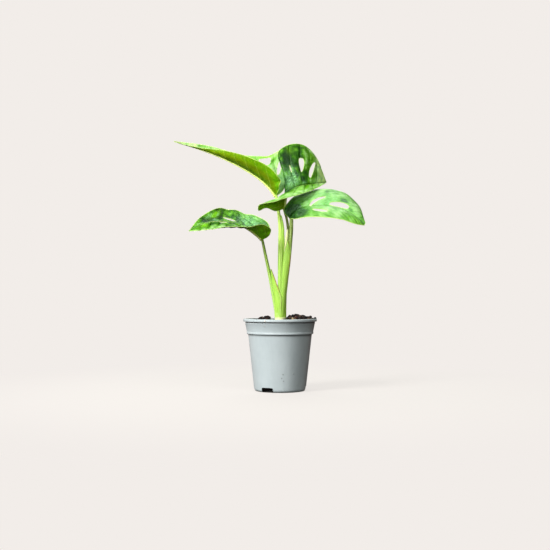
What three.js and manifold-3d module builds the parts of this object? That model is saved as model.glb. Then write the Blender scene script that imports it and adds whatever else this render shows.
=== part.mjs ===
// A young potted monstera obliqua: nursery pot, potting mix, stem with roots, four leaf stalks,
// four perforated leaf blades, sheath wings, a rolled new leaf and loose bark chips.
// Millimetres, +Z up. The origin is the middle of the pot's underside.
// +X is to the right and -Y towards someone who looks at the plant from its front.

import * as THREE from "three";
import { mergeVertices } from "three/addons/utils/BufferGeometryUtils.js";
import Module from "manifold-3d";

const wasm = await Module();
wasm.setup();

// Driving dimensions of the pot
const RIM_DIAMETER = 60;
const POT_HEIGHT = 58.3;
const LIP_HEIGHT = 2.2;
const GROOVE_DEPTH = 1;
const BAND_BOTTOM = 46;
const BAND_TOP_DIAMETER = 57.8;
const BAND_BOTTOM_DIAMETER = 53.6;
const BODY_TOP_DIAMETER = 52;
const BODY_BOTTOM_DIAMETER = 41.8;
const BASE_ROUNDING = 2.4;
const WALL = 1;
const FLOOR = 1.2;
const POT_SEGMENTS = 48;

// Drainage slots, cut through the corner between wall and floor
const SLOT_COUNT = 3;
const SLOT_WIDTH = 9;
const SLOT_HEIGHT = 3.8;
const SLOT_INNER_RADIUS = 16.5;
const FIRST_SLOT_FROM_FRONT = -32;

// Clearance between pieces that rest against each other
const GAP = 0.3;

// Potting mix
const COMPOST_LEVEL = 55;
const COMPOST_EDGE_LEVEL = 53.8;
const COMPOST_SEGMENTS = 32;
const COMPOST_RINGS = 7;

// Stem and roots
const STEM_RADIUS_X = 4.7;
const STEM_RADIUS_Y = 4.1;
const STEM_TOP = 66.5;
const STEM_FOOT = 44;
const ROOT_COUNT = 5;
const ROOT_RADIUS = 1.1;
const LONG_ROOT_REACH = 15;
const LONG_ROOT_TIP = 9;
const SHORT_ROOT_REACH = 11;
const SHORT_ROOT_TIP = 15;

// Blades
const BLADE_THICKNESS = 0.8;
const BLADE_STEPS_ALONG = 26;
const BLADE_STEPS_PER_HALF = 4;
const CUTTER_REACH = 3;

// Sheath wings
const SHEATH_THICKNESS = 0.5;
const SHEATH_STEPS = 12;

const COLOUR = {
  pot: 0xb4c0c3,
  compost: 0x2a1c14,
  bark: 0x3a2417,
  stem: 0xb5e85e,
  stalk: 0x9fd94c,
  darkStalk: 0x6d8f2c,
  blade: 0x4f9a2c,
  paleBlade: 0x7cc043,
  sheath: 0xd9ecb0,
  newLeaf: 0xe6e8b4,
};

const plant = new THREE.Group();

function point(x, y, z) {
  return new THREE.Vector3(x, y, z);
}

function curveThrough(rows) {
  return new THREE.CatmullRomCurve3(rows.map(([x, y, z]) => point(x, y, z)), false, "centripetal");
}

function addPiece(name, geometry, colour, roughness) {
  const material = new THREE.MeshStandardMaterial({ color: colour, roughness, metalness: 0 });
  const mesh = new THREE.Mesh(geometry, material);
  mesh.name = name;
  plant.add(mesh);
}

// A closed body through rings with the same even number of points. Each end is closed
// by strips between opposite points of its ring, so a thin folded ring closes well too.
function loft(rings) {
  const sides = rings[0].length;
  const positions = rings.flat().flatMap((corner) => [corner.x, corner.y, corner.z]);
  const triangles = [];
  for (let ring = 0; ring + 1 < rings.length; ring += 1) {
    for (let side = 0; side < sides; side += 1) {
      const next = (side + 1) % sides;
      const a = ring * sides + side;
      const b = ring * sides + next;
      triangles.push(a, b, b + sides, a, b + sides, a + sides);
    }
  }
  const lastRing = (rings.length - 1) * sides;
  for (let step = 0; step + 1 < sides / 2; step += 1) {
    const low = step;
    const high = sides - 1 - step;
    triangles.push(low, high, high - 1, low, high - 1, low + 1);
    triangles.push(lastRing + low, lastRing + high - 1, lastRing + high);
    triangles.push(lastRing + low, lastRing + low + 1, lastRing + high - 1);
  }
  return facingOut(positions, triangles);
}

function facingOut(positions, triangles) {
  let volume = 0;
  const corner = (index) => point(...positions.slice(3 * index, 3 * index + 3));
  for (let first = 0; first < triangles.length; first += 3) {
    const [a, b, c] = [0, 1, 2].map((step) => corner(triangles[first + step]));
    volume += a.dot(b.cross(c));
  }
  const geometry = new THREE.BufferGeometry();
  geometry.setAttribute("position", new THREE.Float32BufferAttribute(positions, 3));
  geometry.setIndex(volume > 0 ? triangles : triangles.toReversed());
  return geometry;
}

function toSolid(geometry) {
  const bare = geometry.clone();
  bare.deleteAttribute("normal");
  bare.deleteAttribute("uv");
  const merged = mergeVertices(bare, 1e-4);
  const source = merged.index.array;
  const kept = [];
  for (let first = 0; first < source.length; first += 3) {
    const [a, b, c] = [source[first], source[first + 1], source[first + 2]];
    if (a !== b && b !== c && c !== a) {
      kept.push(a, b, c);
    }
  }
  return new wasm.Manifold(new wasm.Mesh({
    numProp: 3,
    vertProperties: new Float32Array(merged.attributes.position.array),
    triVerts: new Uint32Array(kept),
  }));
}

function toGeometry(solid) {
  const mesh = solid.getMesh();
  const geometry = new THREE.BufferGeometry();
  geometry.setAttribute("position", new THREE.BufferAttribute(new Float32Array(mesh.vertProperties), 3));
  geometry.setIndex(new THREE.BufferAttribute(new Uint32Array(mesh.triVerts), 1));
  return geometry;
}

function mix(a, b, share) {
  return a + (b - a) * share;
}

// Pot: one lathed shell, closed on the axis, with the slots cut out of its bottom edge
function bodyRadius(height) {
  return mix(BODY_BOTTOM_DIAMETER, BODY_TOP_DIAMETER, height / BAND_BOTTOM) / 2;
}

function bandRadius(height) {
  const share = (height - BAND_BOTTOM) / (POT_HEIGHT - LIP_HEIGHT - BAND_BOTTOM);
  return mix(BAND_BOTTOM_DIAMETER, BAND_TOP_DIAMETER, share) / 2;
}

function innerRadius(height) {
  return (height < BAND_BOTTOM + WALL ? bodyRadius(height) : bandRadius(height)) - WALL;
}

function potGeometry() {
  const rimRadius = RIM_DIAMETER / 2;
  const lipBottom = POT_HEIGHT - LIP_HEIGHT;
  const profile = [[0, 0]];
  const roundingCentre = bodyRadius(BASE_ROUNDING) - BASE_ROUNDING;
  for (const angle of [0, 30, 60, 90]) {
    const turn = THREE.MathUtils.degToRad(angle);
    profile.push([
      roundingCentre + BASE_ROUNDING * Math.sin(turn),
      BASE_ROUNDING * (1 - Math.cos(turn)),
    ]);
  }
  profile.push([bodyRadius(BAND_BOTTOM), BAND_BOTTOM]);
  profile.push([bandRadius(BAND_BOTTOM), BAND_BOTTOM]);
  profile.push([bandRadius(lipBottom) - GROOVE_DEPTH / 4, lipBottom - GROOVE_DEPTH]);
  profile.push([bandRadius(lipBottom) - GROOVE_DEPTH / 2, lipBottom]);
  profile.push([rimRadius - LIP_HEIGHT / 6, lipBottom]);
  profile.push([rimRadius, lipBottom + LIP_HEIGHT / 3]);
  profile.push([rimRadius, POT_HEIGHT - LIP_HEIGHT / 4]);
  profile.push([rimRadius - LIP_HEIGHT / 4, POT_HEIGHT]);
  profile.push([innerRadius(POT_HEIGHT), POT_HEIGHT]);
  profile.push([innerRadius(BAND_BOTTOM + WALL), BAND_BOTTOM + WALL]);
  profile.push([bodyRadius(BAND_BOTTOM) - WALL, BAND_BOTTOM]);
  profile.push([innerRadius(BASE_ROUNDING), BASE_ROUNDING]);
  profile.push([innerRadius(FLOOR) - WALL / 2, FLOOR]);
  profile.push([0, FLOOR]);
  const points = profile.map(([radius, height]) => new THREE.Vector2(radius, height));
  const shell = new THREE.LatheGeometry(points, POT_SEGMENTS);
  shell.rotateX(Math.PI / 2);
  return shell;
}

function slotCutter(angleFromFront) {
  const depth = 10;
  const below = 1;
  const cutter = new THREE.BoxGeometry(SLOT_WIDTH, depth, SLOT_HEIGHT + below);
  cutter.translate(0, -SLOT_INNER_RADIUS - depth / 2, (SLOT_HEIGHT - below) / 2);
  cutter.rotateZ(THREE.MathUtils.degToRad(angleFromFront));
  return cutter;
}

let pot = toSolid(potGeometry());
for (let slot = 0; slot < SLOT_COUNT; slot += 1) {
  pot = pot.subtract(toSolid(slotCutter(FIRST_SLOT_FROM_FRONT + (slot * 360) / SLOT_COUNT)));
}
addPiece("pot", toGeometry(pot), COLOUR.pot, 0.45);

// Potting mix: fills the pot to just under the lip, heaped on the right and a little on the left
function compostTop(x, y) {
  const heap = (centreX, centreY, spread, height) => (
    height * Math.exp(-((x - centreX) ** 2 + (y - centreY) ** 2) / spread ** 2)
  );
  const ripple = 0.35 * Math.sin(0.55 * x + 1.1) * Math.cos(0.47 * y) + 0.25 * Math.sin(0.9 * y - 0.4 * x);
  return COMPOST_LEVEL + ripple + heap(13, 0, 11, 4.6) + heap(23, -4, 6, 1.2) + heap(-13, 0, 6, 3);
}

function compostRing(radius, height) {
  const ring = [];
  for (let step = 0; step < COMPOST_SEGMENTS; step += 1) {
    const turn = (2 * Math.PI * step) / COMPOST_SEGMENTS;
    const x = radius * Math.cos(turn);
    const y = radius * Math.sin(turn);
    ring.push(point(x, y, height ?? compostTop(x, y)));
  }
  return ring;
}

function compostGeometry() {
  const floor = FLOOR + GAP;
  const middle = 0.4;
  const edge = innerRadius(COMPOST_EDGE_LEVEL) - 1.5 * GAP;
  const rings = [
    compostRing(middle, floor),
    compostRing(innerRadius(floor) - WALL / 2 - GAP, floor),
    compostRing(innerRadius(BASE_ROUNDING) - GAP, BASE_ROUNDING + GAP),
    compostRing(bodyRadius(BAND_BOTTOM) - WALL - GAP, BAND_BOTTOM),
    compostRing(innerRadius(BAND_BOTTOM + WALL) - GAP, BAND_BOTTOM + WALL + GAP),
    compostRing(edge, COMPOST_EDGE_LEVEL),
  ];
  for (let step = COMPOST_RINGS - 1; step > 0; step -= 1) {
    rings.push(compostRing((edge * step) / COMPOST_RINGS));
  }
  rings.push(compostRing(middle));
  return loft(rings);
}

// A stalk, root or rolled leaf: a round or oval section carried along a curve, tapering on the way
function stalkGeometry(route, radii, options = {}) {
  const { sides = 10, steps = 14, extra = 0 } = options;
  const curve = curveThrough(route);
  const frames = curve.computeFrenetFrames(steps, false);
  const rings = [];
  for (let step = 0; step <= steps; step += 1) {
    const share = step / steps;
    const place = share * (radii.length - 1);
    const from = Math.min(Math.floor(place), radii.length - 2);
    const radius = mix(radii[from], radii[from + 1], place - from) + extra;
    const centre = curve.getPointAt(share);
    const ring = [];
    for (let side = 0; side < sides; side += 1) {
      const turn = (2 * Math.PI * (side + 0.5)) / sides;
      ring.push(centre.clone()
        .addScaledVector(frames.normals[step], radius * Math.cos(turn))
        .addScaledVector(frames.binormals[step], radius * Math.sin(turn)));
    }
    rings.push(ring);
  }
  return loft(rings);
}

// Stem and roots, one grown piece: a short oval stem with roots that spread down through the mix
function stemOutline(extra) {
  const sides = 20;
  const sections = [[STEM_FOOT, 0.6], [STEM_FOOT + 4, 0.85], [54, 0.95], [60, 1], [STEM_TOP, 1.04]];
  const rings = sections.map(([height, share]) => {
    const ring = [];
    for (let side = 0; side < sides; side += 1) {
      const turn = (2 * Math.PI * (side + 0.5)) / sides;
      ring.push(point(
        (STEM_RADIUS_X * share + extra) * Math.cos(turn),
        (STEM_RADIUS_Y * share + extra) * Math.sin(turn),
        height === STEM_FOOT ? height - extra : height,
      ));
    }
    return ring;
  });
  return toSolid(loft(rings));
}

function stemAndRoots(extra) {
  let whole = stemOutline(extra);
  for (let root = 0; root < ROOT_COUNT; root += 1) {
    const turn = (2 * Math.PI * (root + 0.3)) / ROOT_COUNT;
    const isLong = root % 2 === 0;
    const reach = isLong ? LONG_ROOT_REACH : SHORT_ROOT_REACH;
    const tip = isLong ? LONG_ROOT_TIP : SHORT_ROOT_TIP;
    const along = (share, height) => [reach * share * Math.cos(turn), reach * share * Math.sin(turn), height];
    const route = [
      along(0.08, STEM_FOOT + 3),
      along(0.55, mix(STEM_FOOT, tip, 0.25)),
      along(0.95, mix(STEM_FOOT, tip, 0.6)),
      along(1, tip - extra),
    ];
    const radii = [ROOT_RADIUS * 1.3, ROOT_RADIUS, ROOT_RADIUS * 0.5];
    whole = whole.add(toSolid(stalkGeometry(route, radii, { sides: 6, steps: 7, extra })));
  }
  return whole;
}

// Loose bark and peat chips, each pressed a little into the mix
const CHIPS = [
  { x: 8, y: -3, size: [5, 3.6, 3.6], turn: 15 },
  { x: 13.5, y: -6.2, size: [4.6, 3.2, 2.8], turn: 70 },
  { x: 14, y: 1.4, size: [5, 3.4, 3.2], turn: -30 },
  { x: 19.6, y: -4, size: [5, 3.4, 3.2], turn: 10 },
  { x: 24.4, y: -1, size: [3, 2.6, 4], turn: 50 },
  { x: 19.5, y: 5.4, size: [4.5, 3, 2.6], turn: 120 },
  { x: -10, y: -2, size: [4.6, 3.2, 2.8], turn: -15 },
  { x: -15.2, y: -0.5, size: [4.6, 3.4, 2.8], turn: 30 },
];
const CHIP_TILT = 0.25;

function chipGeometry(chip, extra) {
  const geometry = new THREE.IcosahedronGeometry(1, 0);
  const [length, width, height] = chip.size;
  geometry.scale(length / 2 + extra, width / 2 + extra, height / 2 + extra);
  geometry.rotateY(CHIP_TILT);
  geometry.rotateZ(THREE.MathUtils.degToRad(chip.turn));
  geometry.translate(chip.x, chip.y, compostTop(chip.x, chip.y) + height / 4);
  return geometry;
}

let compost = toSolid(compostGeometry()).subtract(stemAndRoots(GAP));
for (const chip of CHIPS) {
  compost = compost.subtract(toSolid(chipGeometry(chip, 1.4 * GAP)));
}
addPiece("compost", toGeometry(compost), COLOUR.compost, 0.95);
addPiece("stem_and_roots", toGeometry(stemAndRoots(0)), COLOUR.stem, 0.5);
CHIPS.forEach((chip, index) => {
  addPiece(`bark_chip_${index + 1}`, toGeometry(toSolid(chipGeometry(chip, 0))), COLOUR.bark, 0.95);
});

// Leaf stalks: each rises from the top of the stem to the foot of its blade.
// The radii are spread evenly along the route.
const STALKS = [
  {
    name: "petiole_lower_left",
    route: [[-3.1, 0, 67], [-5.8, -1, 81], [-9, -3, 97], [-12, -5, 111], [-14.3, -6, 122]],
    radii: [1.7, 1.7, 1.4, 1.1, 0.9],
    colour: COLOUR.stalk,
  },
  {
    name: "petiole_upper_left",
    route: [
      [0.1, -2.2, 67], [0, -2, 84], [0, -1, 100], [0, 0, 118],
      [-0.2, 1, 132], [-1.8, 2, 147], [-3.3, 2.5, 158.5],
    ],
    radii: [1.8, 1.9, 1.9, 1.8, 1.7, 1.5, 1.3],
    colour: COLOUR.stalk,
  },
  {
    name: "petiole_upper_right",
    route: [
      [0.2, 2.6, 67], [2.6, 2.8, 82], [6, 3, 104], [6.6, 3.6, 122],
      [6.5, 4.8, 134], [5.2, 5.2, 142], [3.4, 4, 147.7],
    ],
    radii: [1.5, 1.4, 1.3, 1.2, 1.2, 1.1, 1],
    colour: COLOUR.darkStalk,
  },
  {
    name: "petiole_right",
    route: [
      [3.2, 0.2, 67], [3.9, -0.8, 81], [6.8, -1.4, 103],
      [8.3, -2, 118], [8.9, -3, 130], [8.4, -3.4, 138.7],
    ],
    radii: [1.6, 1.6, 1.5, 1.3, 1.2, 1.1],
    colour: COLOUR.darkStalk,
  },
];

for (const stalk of STALKS) {
  addPiece(stalk.name, stalkGeometry(stalk.route, stalk.radii), stalk.colour, 0.45);
}

// New leaf, still rolled up, rising between the stalks of the right and upper blades
const newLeafRoute = [[3.4, 0.6, 98], [3.9, 0.9, 110], [4.4, 1.2, 121], [4.9, 1.5, 131]];
addPiece("new_leaf", stalkGeometry(newLeafRoute, [1.1, 1.1, 0.9, 0.3], { steps: 8 }), COLOUR.newLeaf, 0.5);

// Sheath wings: thin papery strips along the stalks, each between an inner and an outer edge
const SHEATHS = [
  {
    name: "sheath_lower_left",
    inner: [[-7.3, -3.6, 98], [-5.6, -3.5, 88], [-3.6, -4.2, 80], [-2.8, -4.2, 73], [-2.2, -4.2, 68]],
    outer: [[-6.8, -3.8, 98.5], [-3.4, -4, 89], [-1.4, -4.5, 83], [1.1, -4.6, 76], [0.4, -4.6, 68]],
  },
  {
    name: "sheath_upper_left",
    inner: [[0.95, 1.2, 142.5], [1.95, 0.6, 134], [2.25, 0.2, 124], [2.4, -0.2, 112]],
    outer: [[1.3, 1, 142.8], [2.8, 0.2, 135], [3.4, -0.2, 124], [3.2, -0.6, 112]],
  },
  {
    name: "sheath_right",
    inner: [[6.6, -3.9, 118], [5, -3.6, 104], [3.2, -3.2, 90], [2.6, -3.2, 80]],
    outer: [[7.4, -4, 119], [6.4, -3.9, 104], [4.9, -3.4, 90], [3.4, -3.1, 80]],
  },
];

function sheathGeometry({ inner, outer }) {
  const innerEdge = curveThrough(inner);
  const outerEdge = curveThrough(outer);
  const rings = [];
  for (let step = 0; step <= SHEATH_STEPS; step += 1) {
    const share = step / SHEATH_STEPS;
    const from = innerEdge.getPoint(share);
    const to = outerEdge.getPoint(share);
    const normal = innerEdge.getTangent(share).cross(to.clone().sub(from)).normalize();
    const offset = normal.multiplyScalar(SHEATH_THICKNESS / 2);
    const over = [from.clone().add(offset), to.clone().add(offset)];
    const under = [to.clone().sub(offset), from.clone().sub(offset)];
    rings.push([...over, ...under]);
  }
  return loft(rings);
}

for (const sheath of SHEATHS) {
  addPiece(sheath.name, sheathGeometry(sheath), COLOUR.sheath, 0.4);
}

// Blades: cross-sections from the foot to the tip, each with a midrib point, a point on the margin
// of the half nearer the viewer and one on the margin of the half behind. A bow lifts the middle
// of a half above the straight line from midrib to margin, as a share of that half's width.
// A hole runs between two places in the blade, each the share of the way to the tip and the share
// of the half's width, negative on the near half. Its width is in millimetres.
const BLADES = [
  {
    name: "leaf_upper_left",
    midrib: [
      [-3.2, 2.8, 159.3], [-6.2, 4, 163.8], [-11.2, 6, 169.3], [-19, 8, 176],
      [-34, 11, 185.4], [-52, 15, 194.4], [-71, 20, 202], [-90, 23, 208],
    ],
    near: [
      [-2.6, 1.4, 159.7], [-0.6, -6, 165], [0, -10, 171.4], [-6, -11, 179],
      [-21, -7, 188.2], [-43, 3, 196.3], [-65, 14, 201.3], [-90, 22.6, 207.6],
    ],
    far: [
      [-2.4, 4.4, 160], [3, 10, 168], [7, 17, 182], [2, 20, 200],
      [-12, 23, 195.6], [-34, 25, 199.2], [-59, 26.5, 204.5], [-90, 23.4, 208.4],
    ],
    nearBow: 0.1,
    farBow: 0.1,
    holes: [
      { from: [0.585, 0.76], to: [0.49, 0.68], width: 6 },
      { from: [0.39, 0.8], to: [0.315, 0.6], width: 3 },
    ],
    colour: COLOUR.paleBlade,
  },
  {
    name: "leaf_upper_right",
    midrib: [
      [3.2, 3.4, 148.6], [3.5, 3.2, 152.5], [4.2, 2.6, 157], [5.4, 2.6, 161.5], [11, 6, 166],
      [18, 12.5, 169.3], [26, 20, 171.3], [33.5, 28, 173.2], [40, 36, 175],
    ],
    near: [
      [2.6, 2.2, 148.2], [-8, -6, 146.8], [-17.2, -12, 146.2], [-16.4, -15, 149.4], [-3, -16, 152.8],
      [10, -12, 157.2], [22, -3, 161.7], [32.5, 15, 168.2], [40, 35.6, 174.6],
    ],
    far: [
      [3.8, 4.6, 149], [4.6, 8, 152.5], [5, 11, 160], [4.6, 10, 181], [-1.8, 8, 196.3],
      [6.5, 10, 202.4], [19, 16, 203.8], [31, 26, 195.5], [40, 36.4, 175.4],
    ],
    nearBow: -0.04,
    farBow: 0.05,
    holes: [
      { from: [0.675, 0.62], to: [0.64, 0.3], width: 4.4 },
      { from: [0.81, 0.62], to: [0.735, 0.16], width: 3.2 },
      { from: [0.565, 0.52], to: [0.55, 0.36], width: 1 },
    ],
    colour: COLOUR.blade,
  },
  {
    name: "leaf_right",
    midrib: [
      [8.4, -3.4, 139.7], [10.5, -3.5, 144], [16, -4, 147.5], [25, -6, 149.5],
      [36, -9, 150], [47, -12, 147.5], [58, -16, 142], [67.3, -21, 133.3],
    ],
    near: [
      [9, -4.8, 139.4], [13, -9, 139], [20, -15, 139.8], [29, -21, 139.4],
      [40, -25, 138.4], [50, -26, 136.7], [59, -25, 133.6], [66.8, -21.5, 132.6],
    ],
    far: [
      [7.6, -2.6, 140.1], [3, -3, 145.5], [9, 3, 156], [24, 11, 163.6],
      [40, 11, 165.8], [53, 6, 162], [64, -3, 151], [68, -20, 135],
    ],
    nearBow: 0.12,
    farBow: 0.12,
    holes: [
      { from: [0.42, 0.06], to: [0.57, 0.34], width: 3.4 },
      { from: [0.61, 0.12], to: [0.78, 0.28], width: 5.6 },
      { from: [0.43, -0.58], to: [0.57, -0.76], width: 3.4 },
    ],
    colour: COLOUR.paleBlade,
  },
  {
    name: "leaf_lower_left",
    midrib: [
      [-14.4, -6.1, 122.9], [-17.8, -7.5, 125.9], [-22.3, -9.5, 129.3], [-28, -12, 132.6],
      [-37, -15, 136], [-49, -20, 136.5], [-61, -25, 134], [-72, -28, 128],
    ],
    near: [
      [-13.6, -7, 122.6], [-8.9, -12, 125.2], [-7.2, -17, 130], [-12.8, -22, 133.6],
      [-24, -28, 131.4], [-38, -33, 130.8], [-53.4, -35, 128.9], [-71.8, -28.4, 127.6],
    ],
    far: [
      [-14.3, -5.2, 123.3], [-9.5, -2, 131.5], [-9.8, 2, 137.5], [-17, 4, 142.3],
      [-29, 3, 145], [-43.5, 0, 149.4], [-61, -9, 143], [-72.2, -27.6, 128.4],
    ],
    nearBow: 0.12,
    farBow: 0.12,
    holes: [
      { from: [0.675, 0.5], to: [0.56, 0.28], width: 3 },
      { from: [0.715, -0.1], to: [0.66, -0.14], width: 1 },
    ],
    colour: COLOUR.blade,
  },
];

// The blade's middle surface, with its normals, over shares along and across
function bladeSurface(blade) {
  const midrib = curveThrough(blade.midrib);
  const near = curveThrough(blade.near);
  const far = curveThrough(blade.far);
  const flat = (along, across) => {
    const margin = across < 0 ? near : far;
    return midrib.getPoint(along).lerp(margin.getPoint(along), Math.abs(across));
  };
  const normalAt = (along, across) => {
    const step = 0.01;
    const start = THREE.MathUtils.clamp(along - step, 0, 1);
    const end = THREE.MathUtils.clamp(along + step, 0, 1);
    const left = THREE.MathUtils.clamp(across - 8 * step, -1, 1);
    const right = THREE.MathUtils.clamp(across + 8 * step, -1, 1);
    const lengthways = flat(end, across).sub(flat(start, across));
    const sideways = flat(along, right).sub(flat(along, left));
    return lengthways.cross(sideways).normalize();
  };
  const middle = (along, across) => {
    const share = Math.abs(across);
    const width = flat(along, Math.sign(across)).distanceTo(midrib.getPoint(along));
    const bow = across < 0 ? blade.nearBow : blade.farBow;
    const rise = bow * width * 4 * share * (1 - share);
    return flat(along, across).addScaledVector(normalAt(along, across), rise);
  };
  return { middle, normalAt };
}

function bladeGeometry({ middle, normalAt }) {
  const rings = [];
  for (let step = 0; step <= BLADE_STEPS_ALONG; step += 1) {
    const along = step / BLADE_STEPS_ALONG;
    const over = [];
    const under = [];
    for (let column = -BLADE_STEPS_PER_HALF; column <= BLADE_STEPS_PER_HALF; column += 1) {
      const across = column / BLADE_STEPS_PER_HALF;
      const centre = middle(along, across);
      const normal = normalAt(along, across);
      over.push(centre.clone().addScaledVector(normal, BLADE_THICKNESS / 2));
      under.push(centre.clone().addScaledVector(normal, -BLADE_THICKNESS / 2));
    }
    rings.push([...over, ...under.reverse()]);
  }
  return loft(rings);
}

// A hole's outline is a long oval, rounder than an ellipse, that follows the blade
function holeCutter({ middle, normalAt }, hole) {
  const corners = 14;
  const upper = [];
  const lower = [];
  for (let corner = 0; corner < corners; corner += 1) {
    const turn = (2 * Math.PI * (corner + 0.5)) / corners;
    const share = (1 - Math.cos(turn)) / 2;
    const along = mix(hole.from[0], hole.to[0], share);
    const across = mix(hole.from[1], hole.to[1], share);
    const ahead = middle(hole.to[0], hole.to[1]).sub(middle(hole.from[0], hole.from[1]));
    const normal = normalAt(along, across);
    const sideways = normal.clone().cross(ahead).normalize();
    const offset = (hole.width / 2) * Math.sign(Math.sin(turn)) * Math.sqrt(Math.abs(Math.sin(turn)));
    const edge = middle(along, across).addScaledVector(sideways, offset);
    upper.push(edge.clone().addScaledVector(normal, CUTTER_REACH));
    lower.push(edge.clone().addScaledVector(normal, -CUTTER_REACH));
  }
  return loft([upper, lower]);
}

for (const blade of BLADES) {
  const surface = bladeSurface(blade);
  let solid = toSolid(bladeGeometry(surface));
  for (const hole of blade.holes) {
    solid = solid.subtract(toSolid(holeCutter(surface, hole)));
  }
  addPiece(blade.name, toGeometry(solid), blade.colour, 0.4);
}

export default plant;
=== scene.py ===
# A young potted monstera obliqua, built in the order in which the real one is put together:
# nursery pot, potting mix, stem with roots, leaf stalks, sheaths, rolled new leaf, blades, and
# last the studio. Metres, +Z up, the origin in the middle of the pot's underside, -Y towards
# the viewer. Sizes are named in millimetres and turned into metres with MM.

import math

import bmesh
import bpy
import numpy as np
from mathutils import Matrix, Vector, geometry, kdtree, noise


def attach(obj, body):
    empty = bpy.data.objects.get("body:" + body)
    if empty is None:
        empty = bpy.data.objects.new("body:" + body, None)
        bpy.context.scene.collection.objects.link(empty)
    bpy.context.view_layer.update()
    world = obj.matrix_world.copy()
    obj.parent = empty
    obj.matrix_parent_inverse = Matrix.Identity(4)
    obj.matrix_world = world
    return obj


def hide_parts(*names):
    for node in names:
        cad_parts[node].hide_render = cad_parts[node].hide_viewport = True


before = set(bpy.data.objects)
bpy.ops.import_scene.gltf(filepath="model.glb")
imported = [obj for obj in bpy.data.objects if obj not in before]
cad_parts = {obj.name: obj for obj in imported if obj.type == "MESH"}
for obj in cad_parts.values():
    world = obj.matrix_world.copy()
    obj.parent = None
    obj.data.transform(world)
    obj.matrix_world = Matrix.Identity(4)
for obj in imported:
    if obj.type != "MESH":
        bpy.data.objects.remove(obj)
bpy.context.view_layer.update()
MM = 0.001


# Nursery pot: injection-moulded polypropylene, pale blue-grey with a satin skin. It is one thin
# shell: rim lip, groove, stacking band with a bead along its lower edge, tapered body, rounded
# base, and three drainage slots in the bottom corner that the mould leaves open.
RIM_RADIUS = 30.0
POT_HEIGHT = 58.3
LIP_BOTTOM = 56.1
GROOVE_BOTTOM = 55.2
BAND_BOTTOM = 46.0
BAND_TOP_RADIUS = 28.9
BAND_BOTTOM_RADIUS = 26.8
BODY_TOP_RADIUS = 26.0
BODY_BOTTOM_RADIUS = 20.9
BASE_ROUNDING = 2.4
HOLLOW_RADIUS = 13.6
HOLLOW_DEPTH = 0.45
BEAD_HEIGHT = 1.7
RIDGE_HEIGHT = 0.7
GROOVE_DEPTH = 0.6
EDGE_ROUNDING = 0.5
RIM_ROUNDING = 0.75
RIM_INNER_RADIUS = 28.25
INNER_ROUNDING = 0.35
WALL = 1.0
FLOOR = 1.2
POT_SEGMENTS = 176
SLOT_WIDTH = 10.4
SLOT_HEIGHT = 3.8
SLOT_CORNER = 1.1
SLOT_COUNT = 3
FIRST_SLOT_FROM_FRONT = math.radians(-29.5)
SLOT_INNER_RADIUS = 15.0
SLOT_OUTER_RADIUS = 26.5
PIMPLES = [(2.3, 14.7), (10.7, 14.9), (2.7, 9.4), (1.3, 11.7)]


def shade(red, green, blue):
    """A screen colour, 0 to 255 a channel, as the linear colour that a shader takes."""
    channels = [channel / 255 for channel in (red, green, blue)]
    return (*[c / 12.92 if c < 0.04 else ((c + 0.055) / 1.055) ** 2.4 for c in channels], 1.0)


class Wiring:
    """Adds nodes to a tree, each with its sockets fed by a value or by another node's output."""

    def __init__(self, tree):
        self.tree = tree

    def node(self, kind, sockets=None, **settings):
        new_node = self.tree.nodes.new(kind)
        for setting, value in settings.items():
            setattr(new_node, setting, value)
        for socket, value in (sockets or {}).items():
            self.feed(new_node.inputs[socket], value)
        return new_node

    def made(self, kind, sockets=None, **settings):
        """The first output of a new node."""
        return self.node(kind, sockets, **settings).outputs[0]

    def feed(self, socket, value):
        if isinstance(value, bpy.types.NodeSocket):
            self.tree.links.new(value, socket)
        else:
            socket.default_value = value

    def maths(self, operation, first, second=0.0):
        return self.made("ShaderNodeMath", {0: first, 1: second}, operation=operation)

    def times(self, first, second):
        return self.maths("MULTIPLY", first, second)

    def plus(self, first, second):
        return self.maths("ADD", first, second)

    def minus(self, first, second):
        return self.maths("SUBTRACT", first, second)

    def vector(self, x=0.0, y=0.0, z=0.0):
        return self.made("ShaderNodeCombineXYZ", {0: x, 1: y, 2: z})

    def axis(self, vector, letter):
        return self.node("ShaderNodeSeparateXYZ", {0: vector}).outputs[letter]

    def vector_maths(self, operation, first, second):
        return self.made("ShaderNodeVectorMath", {0: first, 1: second}, operation=operation)

    def scaled(self, vector, share):
        return self.made("ShaderNodeVectorMath", {0: vector, "Scale": share}, operation="SCALE")

    def noise(self, vector, scale, detail=2.0, roughness=0.5, output="Fac"):
        sockets = {"Vector": vector, "Scale": scale, "Detail": detail, "Roughness": roughness}
        return self.node("ShaderNodeTexNoise", sockets).outputs[output]

    def rise(self, value, low, high, start=0.0, end=1.0):
        """Goes smoothly from start to end as value goes from low to high."""
        sockets = {0: value, 1: low, 2: high, 3: start, 4: end}
        return self.made("ShaderNodeMapRange", sockets, interpolation_type="SMOOTHSTEP")

    def blend(self, share, first, second, mode="MIX"):
        """Mixes two colours, or multiplies the first by the second, by a share from 0 to 1."""
        sockets = {0: share, 6: first, 7: second}
        return self.node("ShaderNodeMix", sockets, data_type="RGBA", blend_type=mode).outputs[2]


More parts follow.
